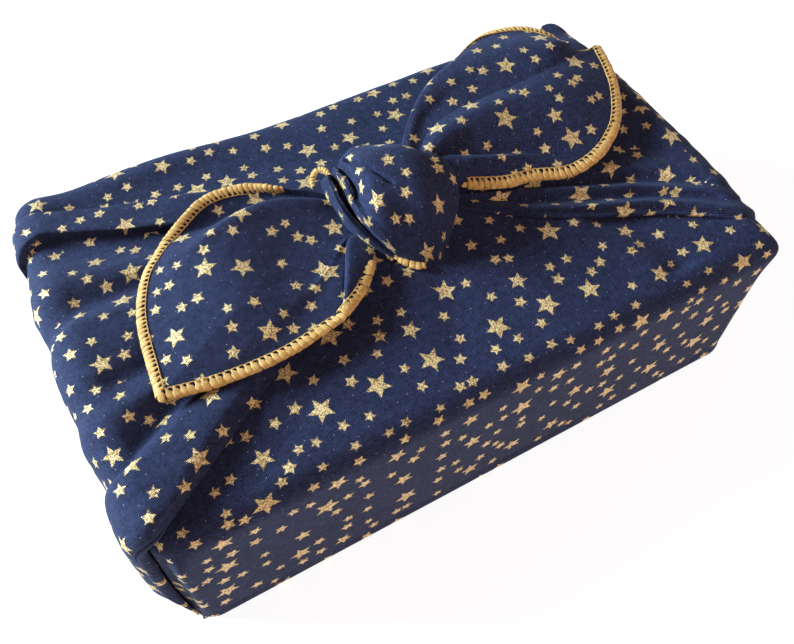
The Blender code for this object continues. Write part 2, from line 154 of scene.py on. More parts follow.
def relief(places, facing, lines):
    """Height along the normals of listed ridges and troughs, in mm.

    Each adds its height times e to the minus (distance over reach) to the power of its sharpness, with the
    distance taken along the surface.
    """
    shape = places.shape[:-1]
    total = np.zeros(places[..., 0].size)
    places, facing = places.reshape(-1, 3), facing.reshape(-1, 3)
    for line in lines:
        path = through(line["path"], np.linspace(0, 1, 4 * len(line["path"])))
        nearest = np.full(len(places), np.inf)
        signed, walked = np.zeros(len(places)), np.zeros(len(places))
        for i, (a, b) in enumerate(zip(path[:-1], path[1:])):
            step = b - a
            part = np.clip((places - a) @ step / (step @ step), 0, 1)
            off = places - a - part[:, None] * step
            off -= facing * np.sum(off * facing, axis=1)[:, None]
            far = np.linalg.norm(off, axis=1)
            closer = far < nearest
            nearest = np.where(closer, far, nearest)
            signed = np.where(closer, np.sum(np.cross(facing, step) * off, axis=1), signed)
            walked = np.where(closer, (i + part) / (len(path) - 1), walked)
        start, end = line["fade"]
        strength = soft_step(np.clip(walked / start, 0, 1) * np.clip((1 - walked) / end, 0, 1))
        reach = np.where(signed > 0, *line["reach"])
        total += line["high"] * strength * np.exp(-((nearest / reach) ** line["sharp"]))
    return total.reshape(shape)


def turned(places, angle, shift=0.0):
    """Places on the flat cloth turned about its middle and moved."""
    cos, sin = np.cos(angle), np.sin(angle)
    x, y = places[..., 0], places[..., 1]
    return np.stack([x * cos - y * sin, x * sin + y * cos], axis=-1) + shift


def mesh_object(name, points, faces, print_places, surface, closed):
    """A smooth object from points in metres, its faces and the print's place at each corner of each face."""
    mesh = bpy.data.meshes.new(name)
    mesh.from_pydata(points.tolist(), [], faces.tolist())
    layer = mesh.uv_layers.new(name="cloth")
    layer.data.foreach_set("uv", print_places.astype(np.float32).ravel())
    if closed:
        joined = bmesh.new()
        joined.from_mesh(mesh)
        bmesh.ops.remove_doubles(joined, verts=joined.verts, dist=ONE_POINT)
        joined.to_mesh(mesh)
        joined.free()
    mesh.shade_smooth()
    mesh.materials.append(surface)
    made = bpy.data.objects.new(name, mesh)
    bpy.context.scene.collection.objects.link(made)
    return made


def cloth_sheet(name, net, flat, turns=None, closed=False, flip=False):
    """A sheet of the cotton over a net of points (rows, columns, 3), with its flat places, all in metres.

    turns is an array (rows - 1, columns - 1, 3): an angle and two shifts for the print on each face.
    """
    rows, count = net.shape[:2]
    here = np.arange(rows * count).reshape(rows, count)
    corners = [here[:-1, :-1], here[:-1, 1:], here[1:, 1:], here[1:, :-1]]
    if flip:
        corners = corners[::-1]
    faces = np.stack(corners, axis=-1).reshape(-1, 4)
    places = flat.reshape(-1, 2)[faces]
    if turns is not None:
        turns = turns.reshape(-1, 1, 3)
        places = turned(places, turns[..., 0], turns[..., 1:])
    return mesh_object(name, net.reshape(-1, 3), faces, places, COTTON, closed)


# ---------------------------------------------------------------------------------------------------------
# Materials
# ---------------------------------------------------------------------------------------------------------


class Socket:
    """A shader value that can be added, multiplied and so on like a number."""

    def __init__(self, tree, plug):
        self.tree, self.plug = tree, plug

    def feed(self, target, value):
        """Link a socket or set a number."""
        if isinstance(value, Socket):
            self.tree.links.new(value.plug, target)
        else:
            target.default_value = value

    def node(self, kind, output=0, settings=(), **plugs):
        """A node of any other kind, fed by name, or by number as i0 and so on, and one of its outputs."""
        made = self.tree.nodes.new(kind)
        for key, value in dict(settings).items():
            setattr(made, key, value)
        for key, value in plugs.items():
            target = made.inputs[int(key[1:])] if key[0] == "i" and key[1:].isdigit() else made.inputs[key]
            self.feed(target, value)
        return Socket(self.tree, made.outputs[output])

    def other(self, output):
        """Another output of the node that this value comes from."""
        return Socket(self.tree, self.plug.node.outputs[output])

    def math(self, operation, *values):
        """A Math node over this value and others."""
        plugs = {f"i{k}": value for k, value in enumerate((self, *values))}
        return self.node("ShaderNodeMath", 0, {"operation": operation}, **plugs)

    def __add__(self, other):
        return self.math("ADD", other)

    def __sub__(self, other):
        return self.math("SUBTRACT", other)

    def __mul__(self, other):
        return self.math("MULTIPLY", other)

    def __rsub__(self, other):
        return (self * -1.0) + other

    __radd__ = __add__
    __rmul__ = __mul__

    def step(self, low, high):
        """0 below low, 1 above high and soft between."""
        settings = {"interpolation_type": "SMOOTHSTEP"}
        return self.node("ShaderNodeMapRange", 0, settings, Value=self, **{"From Min": low, "From Max": high})

    def mix(self, first, second):
        """The first colour where this is 0 and the second where it is 1."""
        return self.node("ShaderNodeMix", 2, {"data_type": "RGBA"}, i0=self, i6=first, i7=second)

    def noise(self, scale, detail):
        """Soft noise from about 0 to 1 over flat places, with so many patches to the metre."""
        settings = {"noise_dimensions": "2D"}
        return self.node("ShaderNodeTexNoise", 0, settings, Vector=self, Scale=scale, Detail=detail)

    def cells(self, output, scale, jitter=1.0):
        """Scattered cells, so many to the metre: output 0 is how far its middle is, 1 a colour."""
        settings = {"voronoi_dimensions": "2D", "feature": "F1"}
        plugs = {"Vector": self, "Scale": scale, "Randomness": jitter}
        return self.node("ShaderNodeTexVoronoi", output, settings, **plugs)


SHEEN_ROUGHNESS = 0.45


def shader(name, roughness, sheen=0.0, sheen_tint=(1, 1, 1, 1), specular=0.5):
    """A Principled material, its shader and a socket to build its values from."""
    made = bpy.data.materials.new(name)
    made.use_nodes = True
    core = made.node_tree.nodes["Principled BSDF"]
    core.inputs["Roughness"].default_value = roughness
    core.inputs["Sheen Weight"].default_value = sheen
    core.inputs["Sheen Roughness"].default_value = SHEEN_ROUGHNESS
    core.inputs["Sheen Tint"].default_value = sheen_tint
    core.inputs["Specular IOR Level"].default_value = specular
    return made, core, Socket(made.node_tree, None)


# The print: the spacing of the stars of each size and how far they leave their grid, their least and largest
# radius, and their inner radius as a share of the outer one
LARGE = {"pitch": 29.0, "jitter": 0.62, "least": 4.3, "most": 6.2, "waist": 0.46}
SMALL = {"pitch": 11.9, "jitter": 0.64, "least": 2.5, "most": 3.3, "waist": 0.52}
KEEP_CLEAR = 9.2  # mm from the middle of a large star within which no small one is printed
NOT_PRINTED = 50.0  # mm that put a small star out of reach
STAR_TILT = 0.9  # radians over which the stars are turned at random
POINTS = 5
WHOLE_TURNS = 20 * math.pi  # added so that no angle is negative

# The cloth: how much each part of it adds to its tone and to its height
THREAD_PAIR = 0.98  # mm from a thread to the next but one
SLUB, BLOTCH, FUZZ, INK_EDGE = (330.0, 2.0), (28.0, 3.0), (900.0, 2.0), (2100.0, 2.0)  # noise scale, detail
TONE = {"weave": 1.5, "slub": 0.8, "fuzz": 1.0, "blotch": 0.25, "base": -0.27}
HEIGHT = {"weave": 1.3, "fuzz": 0.6, "slub": 0.5, "gold": 0.25}
DARK_NAVY, PALE_NAVY = (0.0035, 0.0038, 0.0100, 1), (0.041, 0.047, 0.110, 1)
LINT = {"scale": 95.0, "radius": 0.021, "strength": 0.55, "colour": (0.5, 0.5, 0.55, 1)}
INK_RAGGED, INK_OVER_WEAVE, INK_SOFT = 0.8, 0.45, 0.1  # mm
GRAIN_SCALE = 2200.0
GRAIN_TONES = (0.05, 0.8)
DARK_GOLD, BRIGHT_GOLD = (0.34, 0.155, 0.032, 1), (1.0, 0.72, 0.33, 1)
WORN = {"weave": 0.25, "below": 0.13, "loss": 0.3}
GOLD_METAL = 0.2
CLOTH_ROUGHNESS, GOLD_SMOOTHER = 0.86, 0.38


def star(flat, layer):
    """Signed distance in mm to the stars of one layer, negative inside, and the middle of the nearest one.

    An angle folded at each point and notch leaves one straight side, and the distance is taken from that.
    """
    colour = flat.cells(1, 1000.0 / layer["pitch"], layer["jitter"])
    middle = colour.other("Position")
    chance = flat.node("ShaderNodeSeparateColor", 0, Color=colour)
    other = chance.other(1)
    off = flat.node("ShaderNodeVectorMath", 0, {"operation": "SUBTRACT"}, i0=flat, i1=middle)
    x = flat.node("ShaderNodeSeparateXYZ", 0, Vector=off)
    y = x.other(1)
    x, y = x * 1000.0, y * 1000.0
    far = (x * x + y * y).math("SQRT")
    angle = y.math("ARCTAN2", x) + chance * STAR_TILT + WHOLE_TURNS
    folded = angle.math("PINGPONG", math.pi / POINTS)
    size = other * (layer["most"] - layer["least"]) + layer["least"]
    lean_x = layer["waist"] * math.sin(math.pi / POINTS)
    lean_y = 1.0 - layer["waist"] * math.cos(math.pi / POINTS)
    length = math.hypot(lean_x, lean_y)
    across = (far * folded.math("COSINE") - size) * (lean_x / length)
    return across + far * folded.math("SINE") * (lean_y / length), middle


def printed_cotton():
    """Navy plain weave with stars printed in gold, whose grains glitter.

    The weave is the product of two sines, one for the weft and one for the warp. The print's distance is
    roughened by noise and by the weave, so that its edge is ragged and thin over the hollows.
    """
    made, core, use = shader("printed_cotton", 0.8, sheen=0.07, sheen_tint=(0.6, 0.7, 1.0, 1), specular=0.2)
    flat = use.node("ShaderNodeUVMap", 0, {"uv_map": "cloth"})
    x = use.node("ShaderNodeSeparateXYZ", 0, Vector=flat)
    y = x.other(1)

    rough_edge = flat.noise(*INK_EDGE)
    large, _ = star(flat, LARGE)
    small, place = star(flat, SMALL)
    apart = place.cells(0, 1000.0 / LARGE["pitch"], LARGE["jitter"]) * LARGE["pitch"]
    small = small + (apart.math("LESS_THAN", KEEP_CLEAR)) * NOT_PRINTED

    weft, warp = ((at * (2000.0 * math.pi / THREAD_PAIR)).math("SINE") for at in (y, x))
    slub, blotch, fuzz = flat.noise(*SLUB), flat.noise(*BLOTCH), flat.noise(*FUZZ)
    weave = (weft * warp) * 0.5 + 0.5
    tone = weave * TONE["weave"] + (slub - 0.5) * TONE["slub"] + (fuzz - 0.5) * TONE["fuzz"]
    tone = tone + (blotch - 0.5) * TONE["blotch"] + TONE["base"]
    navy = tone.step(0.0, 1.0).mix(DARK_NAVY, PALE_NAVY)
    lint = flat.cells(0, LINT["scale"]).math("LESS_THAN", LINT["radius"]) * LINT["strength"]
    navy = lint.mix(navy, LINT["colour"])

    inside = large.math("MINIMUM", small) + (rough_edge - 0.5) * INK_RAGGED - (weave - 0.5) * INK_OVER_WEAVE
    gold = 1.0 - inside.step(-INK_SOFT, INK_SOFT)
    sparkle = use.node("ShaderNodeSeparateColor", 0, Color=flat.cells(1, GRAIN_SCALE))
    tint = sparkle.step(*GRAIN_TONES).mix(DARK_GOLD, BRIGHT_GOLD)
    worn = (sparkle + weave * WORN["weave"]).math("LESS_THAN", WORN["below"])
    gold = gold * (1.0 - worn * WORN["loss"])
    use.feed(core.inputs["Base Color"], gold.mix(navy, tint))
    use.feed(core.inputs["Metallic"], gold * GOLD_METAL)
    use.feed(core.inputs["Roughness"], CLOTH_ROUGHNESS - gold * GOLD_SMOOTHER)
    height = weave * HEIGHT["weave"] + fuzz * HEIGHT["fuzz"] + slub * HEIGHT["slub"]
    height = height + gold * sparkle * HEIGHT["gold"]
    bump = use.node("ShaderNodeBump", 0, Strength=0.6, Distance=0.00025, Height=height)
    use.feed(core.inputs["Normal"], bump)
    return made


FIBRES_ROUND, FIBRES_ALONG = 14.0, 0.6
# The twist's share paints shade into the grooves of the twist and a highlight on its crests; the patches are
# dye
THREAD_TONE_AND_SHADE = {"twist": 0.35, "patch": 1.2, "base": 0.35}
DARK_MUSTARD, PALE_MUSTARD = (0.48, 0.21, 0.03, 1), (0.95, 0.55, 0.16, 1)
FLECKS = (0.35, 0.7)
DARK_CARD, PALE_CARD = (0.36, 0.25, 0.15, 1), (0.52, 0.39, 0.25, 1)


def mustard_thread():
    """Thick soft sewing thread: its fibres are a sine wave wound along it, raised by a bump and painted
    darker in its grooves as painted shade and lighter on its crests as painted highlight, over patches of
    lighter dye.
    """
    made, core, use = shader("mustard_thread", 0.55, sheen=0.3, sheen_tint=(1.0, 0.85, 0.5, 1), specular=0.35)
    flat = use.node("ShaderNodeUVMap", 0, {"uv_map": "cloth"})
    x = use.node("ShaderNodeSeparateXYZ", 0, Vector=flat)
    y = x.other(1)
    twist = ((y * FIBRES_ROUND + x * FIBRES_ALONG) * (2 * math.pi)).math("SINE") * 0.5 + 0.5
    space = use.node("ShaderNodeTexCoord", 3)
    patch = use.node("ShaderNodeTexNoise", 0, Vector=space, Scale=420.0, Detail=3.0)
    # Painted shade in the grooves of the twist and painted highlight on its crests, over patches of dye
    tone = twist * THREAD_TONE_AND_SHADE["twist"] + (patch - 0.5) * THREAD_TONE_AND_SHADE["patch"] + THREAD_TONE_AND_SHADE["base"]
    use.feed(core.inputs["Base Color"], tone.step(0.0, 1.0).mix(DARK_MUSTARD, PALE_MUSTARD))
    bump = use.node("ShaderNodeBump", 0, Strength=0.5, Distance=0.0001, Height=twist)
    use.feed(core.inputs["Normal"], bump)
    return made


def plain_card():
    """Uncoated grey-brown board with flecks of noise."""
    made, core, use = shader("plain_card", 0.85)
    space = use.node("ShaderNodeTexCoord", 3)
    fleck = use.node("ShaderNodeTexNoise", 0, Vector=space, Scale=900.0, Detail=4.0)
    use.feed(core.inputs["Base Color"], fleck.step(*FLECKS).mix(DARK_CARD, PALE_CARD))
    bump = use.node("ShaderNodeBump", 0, Strength=0.2, Distance=0.0002, Height=fleck)
    use.feed(core.inputs["Normal"], bump)
    return made


COTTON = printed_cotton()
THREAD = mustard_thread()
CARD = plain_card()

# ---------------------------------------------------------------------------------------------------------
# The flat cloth over the box, which everything else lies on
# ---------------------------------------------------------------------------------------------------------

# In metres: half the outline, the radii of its upright corners, top edge and foot, and how far its ends bulge
HALF_LENGTH, HALF_WIDTH = 0.1555, 0.0988
UPRIGHT_RADIUS, SMALLEST_RADIUS = 0.0128, 0.0006
TOP_RADIUS, FOOT_RADIUS = 0.0110, 0.0035
END_BULGE = 0.0008
THROAT = {"x": 0.0, "y": 0.002, "half_x": 0.008, "half_y": 0.009}  # the ring under the knot, in metres
AROUND = 4 * (HALF_LENGTH + HALF_WIDTH)  # once round the plan, from the front left corner
MIDDLES = {
    "front": HALF_LENGTH,
    "right": 2 * HALF_LENGTH + HALF_WIDTH,
    "back": 3 * HALF_LENGTH + 2 * HALF_WIDTH,
    "left": 4 * HALF_LENGTH + 3 * HALF_WIDTH,
}
TOWARDS_BACK = {"right": 1.0, "left": -1.0}
FOLD_SLIDE = 0.34  # share by which the folds of an end drift outwards on their way down
# In mm at places along each side: how high the cloth rises to the throat and how far its lines bow to the
# back; fall is the power by which the rise dies away
FAN = (
    {"side": "front", "at": 0, "rise": 8, "bow": 0, "fall": 1.4},
    {"side": "right", "at": -75, "rise": 9, "bow": -8, "fall": 1.5},
    {"side": "right", "at": -20, "rise": 15, "bow": -2, "fall": 2.2},
    {"side": "right", "at": 40, "rise": 15, "bow": 5, "fall": 2.2},
    {"side": "right", "at": 92, "rise": 7, "bow": 14, "fall": 2},
    {"side": "back", "at": 0, "rise": 5, "bow": 0, "fall": 1.5},
    {"side": "left", "at": 93, "rise": 7, "bow": 19, "fall": 2},
    {"side": "left", "at": 72, "rise": 8, "bow": 6, "fall": 2.2},
    {"side": "left", "at": 30, "rise": 15, "bow": 1, "fall": 2.2},
    {"side": "left", "at": -40, "rise": 14, "bow": 0, "fall": 2.2},
    {"side": "left", "at": -95, "rise": 9, "bow": 0, "fall": 1.5},
)
BOW_SCALE = 27 / 4  # part x (1 - part) squared is 4 / 27 at its highest


def along_end(along, side):
    """Signed distance along an end from its middle, + to the back, in mm."""
    away = (along - MIDDLES[side] + AROUND / 2) % AROUND - AROUND / 2
    return TOWARDS_BACK[side] * away / MM


def place_along(side, at):
    """The distance round the plan of places given along one side in mm."""
    return (MIDDLES[side] + TOWARDS_BACK.get(side, 1.0) * np.asarray(at, float) * MM) % AROUND


def outline(along, inset):
    """Plan points and outward directions of the wrap at distances round it, drawn in by an inset.

    The plan is four straight sides, joined at the corners by quarter circles.
    """
    signs = np.array([[-1.0, -1.0], [1.0, -1.0], [1.0, 1.0], [-1.0, 1.0]])
    corners = signs * (HALF_LENGTH - inset, HALF_WIDTH - inset)
    lengths = 2 * np.array([HALF_LENGTH, HALF_WIDTH, HALF_LENGTH, HALF_WIDTH])
    starts = np.concatenate([[0.0], np.cumsum(lengths)[:3]])
    travel = np.array([[1.0, 0.0], [0.0, 1.0], [-1.0, 0.0], [0.0, -1.0]])
    outward = np.array([[0.0, -1.0], [1.0, 0.0], [0.0, 1.0], [-1.0, 0.0]])
    radius = max(UPRIGHT_RADIUS - inset, SMALLEST_RADIUS)
    along = np.asarray(along, float) % AROUND
    side = np.searchsorted(starts, along, side="right") - 1
    straight = (along - starts[side] - UPRIGHT_RADIUS) / (lengths[side] - 2 * UPRIGHT_RADIUS)
    walked = radius + straight * (lengths[side] - 2 * inset - 2 * radius)
    points = corners[side] + travel[side] * walked[:, None]
    directions = outward[side].copy()
    for corner in range(4):
        off = (along - starts[corner] + AROUND / 2) % AROUND - AROUND / 2
        near = np.abs(off) < UPRIGHT_RADIUS
        turn = (off[near] / UPRIGHT_RADIUS + 1.0) * math.pi / 4
        facing = outward[corner - 1] * np.cos(turn)[:, None] + outward[corner] * np.sin(turn)[:, None]
        centre = corners[corner] - (outward[corner - 1] + outward[corner]) * radius
        points[near] = centre + facing * radius
        directions[near] = facing
    return points, directions


def fan_value(name, along):
    """A column of the fan table at distances round the plan, eased from row to row."""
    rows = sorted((float(place_along(row["side"], row["at"])), row[name]) for row in FAN)
    places, values = zip(*rows)
    places = [places[-1] - AROUND, *places, places[0] + AROUND]
    values = [values[-1], *values, values[0]]
    return eased(places, values, np.asarray(along) % AROUND) * MM


def shell(along, level):
    """Points and normals of the flat cloth at one level.

    Levels 0 to 1 run straight over the top from the throat to its edge, 1 to 2 round the edge by a quarter
    circle, 2 to 3 down the side and 3 to 4 round the foot. The ends bulge by half a sine from top to foot.
    """
    top_part = min(level, 1.0)
    turn = min(max(level - 1.0, 0.0), 1.0) * math.pi / 2
    depth = min(max(level - 2.0, 0.0), 1.0)
    foot_turn = min(max(level - 3.0, 0.0), 1.0) * math.pi / 2
    sideways = math.sin(turn) * math.cos(foot_turn)
    upward = math.cos(turn) - math.sin(foot_turn)
    rounding = TOP_RADIUS * (1.0 - math.sin(turn)) + FOOT_RADIUS * (1.0 - math.cos(foot_turn))
    moved = np.array(along, float)
    for side, sign in TOWARDS_BACK.items():
        at = along_end(moved, side) * MM
        slide = at * FOLD_SLIDE * depth * (1.0 - (at / HALF_WIDTH) ** 2)
        moved = np.where(np.abs(at) < HALF_WIDTH, moved + sign * slide, moved)
    plan, out = outline(moved, rounding)
    bulge = END_BULGE * math.sin(math.pi * depth) * out[:, 0]
    reach = plan + np.stack([bulge, np.zeros(len(moved))], axis=1)
    centre = np.array([THROAT["x"], THROAT["y"]])
    aim = reach - centre
    angle = np.arctan2(aim[:, 1], aim[:, 0])
    throat = centre + np.stack([THROAT["half_x"] * np.cos(angle), THROAT["half_y"] * np.sin(angle)], axis=1)
    points = np.zeros((len(moved), 3))
    points[:, :2] = throat + (reach - throat) * top_part
    points[:, 1] += fan_value("bow", along) * BOW_SCALE * top_part * (1.0 - top_part) ** 2
    side_height = TOP - TOP_RADIUS * (1.0 - math.cos(turn)) - (TOP - TOP_RADIUS - FOOT_RADIUS) * depth
    points[:, 2] = side_height - FOOT_RADIUS * math.sin(foot_turn)
    points[:, 2] += fan_value("rise", along) * (1.0 - top_part) ** (fan_value("fall", along) / MM)
    normals = np.concatenate([out * sideways, np.full((len(out), 1), upward)], axis=1)
    return points, unit(normals)


def unfolded(net):
    """The print's place on the flat cloth: the top as it lies, and the sides laid flat around it."""
    below = np.maximum(TOP - net[..., 2], 0.0)
    past_x = np.maximum(np.abs(net[..., 0]) - (HALF_LENGTH - TOP_RADIUS), 0.0)
    past_y = np.maximum(np.abs(net[..., 1]) - (HALF_WIDTH - TOP_RADIUS), 0.0)
    on_end = (past_x >= past_y) & (past_x > 0)
    u = net[..., 0] + np.sign(net[..., 0]) * np.where(on_end, below, 0.0)
    v = net[..., 1] + np.sign(net[..., 1]) * np.where(on_end, 0.0, below)
    return np.stack([u, v], axis=-1)


# Seen from above: soft troughs and ridges of the front panel, from the knot outwards, and of the back panel
TOP_CREASES = (
    crease(1.8, (12, 9), [(71, -33, 0), (81, -47, 0), (89, -60, 0), (94, -74, 0), (96, -87, 0)]),
    crease(-3.0, (9, 9), [(81, -36, 0), (91, -50, 0), (101, -63, 0), (105, -76, 0), (106, -90, 0)]),
    crease(-0.8, (9, 7), [(6, -30, 0), (2, -48, 0), (-6, -70, 0), (-10, -90, 0)]),
    crease(0.8, (8, 10), [(24, -30, 0), (34, -52, 0), (42, -80, 0)]),
    crease(-0.7, (4, 12), [(-22, -30, 0), (-52, -48, 0), (-96, -80, 0), (-126, -92, 0)], sharp=1.5),
    crease(0.7, (8, 9), [(100, -60, 0), (124, -74, 0), (146, -90, 0)]),
    crease(-0.8, (9, 8), [(-60, 74, 0), (-20, 62, 0), (10, 48, 0)]),
    crease(0.6, (8, 12), [(-110, 92, 0), (-60, 84, 0), (0, 80, 0), (70, 86, 0)]),
)
# A trough and its lit rim down the left end, under the bundle's front edge, in mm from the middle of the top
TROUGH = [(-152, -95, -6), (-156, -95.5, -22), (-156, -95.5, -50), (-156, -94, -80)]
RIM = [(-147, -99, -6), (-147.5, -99, -24), (-147.5, -99, -52), (-147.5, -98, -80)]
CREVICE = (
    crease(-1.5, (3.2, 3.2), TROUGH, fade=(0.1, 0.05)),
    crease(2.8, (3.2, 3.2), RIM, fade=(0.2, 0.05)),
)
# Middle, reach and height of soft swells: along the back edge beside the left bundle, and at the front right
# corner, whose tip is also pulled out
EDGE_SWELLS = (
    ((-150, 95, -4), (16, 16, 14), 5.5),
    ((-112, 99, -2), (40, 13, 13), 5.5),
    ((-68, 99, -2), (30, 12, 12), 3.0),
    ((155, -80, -3), (12, 14, 15), 3.2),
)
CORNER_TIP = {"at": (155, -97, -3), "pull": (3.6, -2.6, 2.0), "reach": (7, 7, 17)}

LONG_COLUMNS, END_COLUMNS = 160, 49
EVEN, CROWDED = 0.45, 0.55  # shares of even columns and of columns that crowd towards the corners
PANEL_LEVELS, PANEL_ROWS = (0, 1, 2, 3, 4), (84, 12, 40, 8)
PANEL_RIPPLES = ((0.45, 70, 3), (0.16, 24, 4))
DRAWN_IN = 0.35  # mm by which the upright cloth lies inside the outline
BASE_HEIGHT, BASE_OVERLAP = 0.0003, 0.0004
BASE_COLUMNS, BASE_ROWS = 48, 32
BASE_PRINT = (0.31, 0.17)  # metres that its print is moved by


def swells(places):
    """Height of the soft swells of the edges, in mm: bells that fall off with the distance over the reach."""
    total = np.zeros(places.shape[:-1])
    for middle, reach, high in EDGE_SWELLS:
        total += high * np.exp(-np.sum(((places - middle) / reach) ** 2, axis=-1))
    return total


def panels():
    """The flat top, front, back and ends, as one sheet that runs on under both bundles and round the foot.

    It is the shell, moved along its normals by its creases, swells and ripples.
    """
    longs, ends = (np.linspace(0, 1, count)[:-1] for count in (LONG_COLUMNS, END_COLUMNS))
    marks = (0.0, 2 * HALF_LENGTH, 2 * (HALF_LENGTH + HALF_WIDTH), 4 * HALF_LENGTH + 2 * HALF_WIDTH, AROUND)
    along = []
    for start, end, parts in zip(marks[:-1], marks[1:], (longs, ends, longs, ends)):
        soft = 0.5 - 0.5 * np.cos(parts * math.pi)
        along.append(start + (end - start) * (EVEN * parts + CROWDED * soft))
    along = np.append(np.concatenate(along), AROUND)
    net, facing = np.moveaxis([shell(along, level) for level in stretches(PANEL_LEVELS, PANEL_ROWS)], 1, 0)
    places = net / MM - MIDDLE_OF_TOP
    on_top = np.clip(facing[..., 2], 0, 1)
    upright = 1.0 - np.abs(facing[..., 2])
    plan = net / MM * (1, 1, 0)
    swell = relief(plan, np.zeros_like(plan) + (0, 0, 1.0), TOP_CREASES) * on_top
    swell = swell + swells(places) + relief(places, facing, CREVICE) + ripples(net / MM, PANEL_RIPPLES)
    above_foot = np.where(net[..., 2] < 2 * FOOT_RADIUS, 0.0, 1.0)
    net = net + facing * ((swell - DRAWN_IN * upright) * above_foot)[..., None] * MM
    far = np.linalg.norm((net / MM - MIDDLE_OF_TOP - CORNER_TIP["at"]) / CORNER_TIP["reach"], axis=2)
    net = net + np.exp(-(far**2))[..., None] * CORNER_TIP["pull"] * MM
    return cloth_sheet("panels", net, unfolded(net), closed=True, flip=True)


def base_panel():
    """The flat cloth under the box, up to the turn of its foot: an even grid."""
    reach = (HALF_LENGTH - FOOT_RADIUS + BASE_OVERLAP, HALF_WIDTH - FOOT_RADIUS + BASE_OVERLAP)
    across = np.linspace(-reach[0], reach[0], BASE_COLUMNS)
    along = np.linspace(-reach[1], reach[1], BASE_ROWS)
    x, y = np.meshgrid(across, along)
    net = np.stack([x, y, np.full_like(x, BASE_HEIGHT)], axis=-1)
    return cloth_sheet("base_panel", net, net[..., :2] + BASE_PRINT, flip=True)


# ---------------------------------------------------------------------------------------------------------
# The gathered bundles. Folds are given across the end, in mm from its middle, + to the back.
# ---------------------------------------------------------------------------------------------------------

BUNDLE_LEVELS = (0.15, 0.5, 0.8, 1.0, 1.75, 2.7)
BUNDLES = {
    # lines along the folds from the front edge to the back one: where each runs across the end, and how high
    # it lies over the flat cloth, at each of the levels. The first and last are the edges, with the radius of
    # their roll as height.
    "left": (
        ("front edge", (-86, -87, -95, -97, -91, -90), (0.5, 0.6, 0.7, 1.0, 2.4, 2.7)),
        ("flank", (-80, -82, -89, -93, -89, -87), (1.0, 1.9, 3.0, 4.4, 5.4, 5.0)),
        ("band crest", (-70, -72, -78, -83, -83, -79), (2.0, 5.2, 8.0, 8.6, 8.6, 7.8)),
        ("band", (-56, -57, -60, -62, -64, -62), (1.8, 4.4, 7.0, 8.4, 8.8, 7.8)),
        ("valley", (-42, -43, -47, -53, -59, -58), (0.7, 1.0, 1.8, 2.8, 5.4, 4.6)),
        ("crest", (-29, -31, -35, -37, -39, -38), (1.8, 4.4, 7.0, 8.4, 9.2, 8.0)),
        ("valley", (-18, -19, -22, -22, -24, -24), (0.6, 1.2, 2.4, 4.4, 8.2, 5.2)),
        ("shoulder", (-8, -8, -10, -11, -13, -14), (1.6, 3.8, 6.0, 7.6, 9.2, 8.0)),
        ("broad crest", (8, 10, 13, 12, 6, 4), (2.0, 4.6, 6.8, 8.4, 9.6, 8.2)),
        ("valley", (29, 29, 28, 25, 18, 18), (0.6, 0.9, 1.8, 3.2, 7.6, 5.0)),
        ("crest", (40, 40, 40, 40, 38, 42), (1.8, 4.2, 6.2, 7.6, 9.2, 8.0)),
        ("hollow", (57, 57, 58, 59, 62, 64), (0.6, 0.7, 0.7, 1.0, 5.2, 5.2)),
        ("valley", (70, 69, 70.5, 71, 71, 72), (0.9, 1.0, 1.2, 1.8, 4.0, 3.8)),
        ("lip", (69.5, 68.5, 70, 71, 71, 72), (1.9, 4.4, 6.6, 7.6, 7.4, 5.8)),
        ("plateau", (75, 75, 77, 78, 78, 78), (2.4, 5.2, 7.0, 7.8, 7.6, 6.2)),
        ("plateau", (88, 88, 90, 91, 89, 88), (2.2, 4.6, 6.0, 6.0, 5.8, 4.8)),
        ("back edge", (97, 99, 100, 99, 97, 96), (0.8, 1.2, 1.5, 1.4, 1.2, 1.2)),
    ),
    "right": (
        ("front edge", (-50, -65, -70, -76, -79, -84), (0.8, 1.4, 1.5, 1.2, 1.2, 1.2)),
        ("roll", (-45, -59, -64, -71.5, -75, -79), (2.6, 6.2, 6.6, 5.8, 5.8, 4.8)),
        ("valley", (-31, -46, -54, -63, -68, -71), (1.0, 1.2, 1.6, 3.4, 4.8, 4.6)),
        ("crest", (-25, -39, -50, -59, -64, -65), (2.8, 5.4, 6.2, 5.8, 6.2, 5.4)),
        ("valley", (-19, -29, -40, -52, -57, -57), (1.0, 1.5, 2.4, 4.6, 6.4, 5.6)),
        ("crest", (-12, -21, -33, -46, -50, -48), (2.4, 5.2, 7.0, 7.2, 7.4, 6.4)),
        ("valley", (-4, -8, -16, -28, -33, -32), (1.4, 3.4, 5.4, 6.8, 7.8, 4.4)),
        ("crest", (8, 6, 0, -12, -16, -14), (2.4, 4.6, 7.0, 8.0, 8.4, 7.0)),
        ("valley", (20, 21, 17, 8, 4, 4), (1.4, 3.4, 5.6, 7.4, 8.4, 4.8)),
        ("crest", (32, 34, 34, 28, 24, 22), (2.2, 4.4, 7.0, 8.4, 8.8, 7.2)),
        ("valley", (46, 48, 50, 46, 42, 38), (1.2, 2.8, 4.8, 7.0, 8.2, 4.4)),
        ("crest", (60, 62, 66, 64, 60, 58), (2.2, 4.0, 6.2, 7.6, 8.0, 6.8)),
        ("valley", (72, 75, 79, 77, 73, 71), (1.0, 1.8, 3.2, 5.2, 6.8, 3.8)),
        ("crest", (84, 87, 90, 88, 84, 82), (2.0, 3.2, 4.8, 5.8, 6.4, 5.6)),
        ("back edge", (96, 98, 99, 98, 95, 93), (1.0, 1.4, 1.6, 1.6, 1.8, 1.6)),
    ),
}
SPAN_STEPS = 18  # columns between two lines
BUNDLE_STOPS, BUNDLE_ROWS = (0.05, 1, 2, 3, 3.9), (84, 16, 44, 8)
NARROWEST = 0.15  # the least share of its width that a bundle keeps at the knot
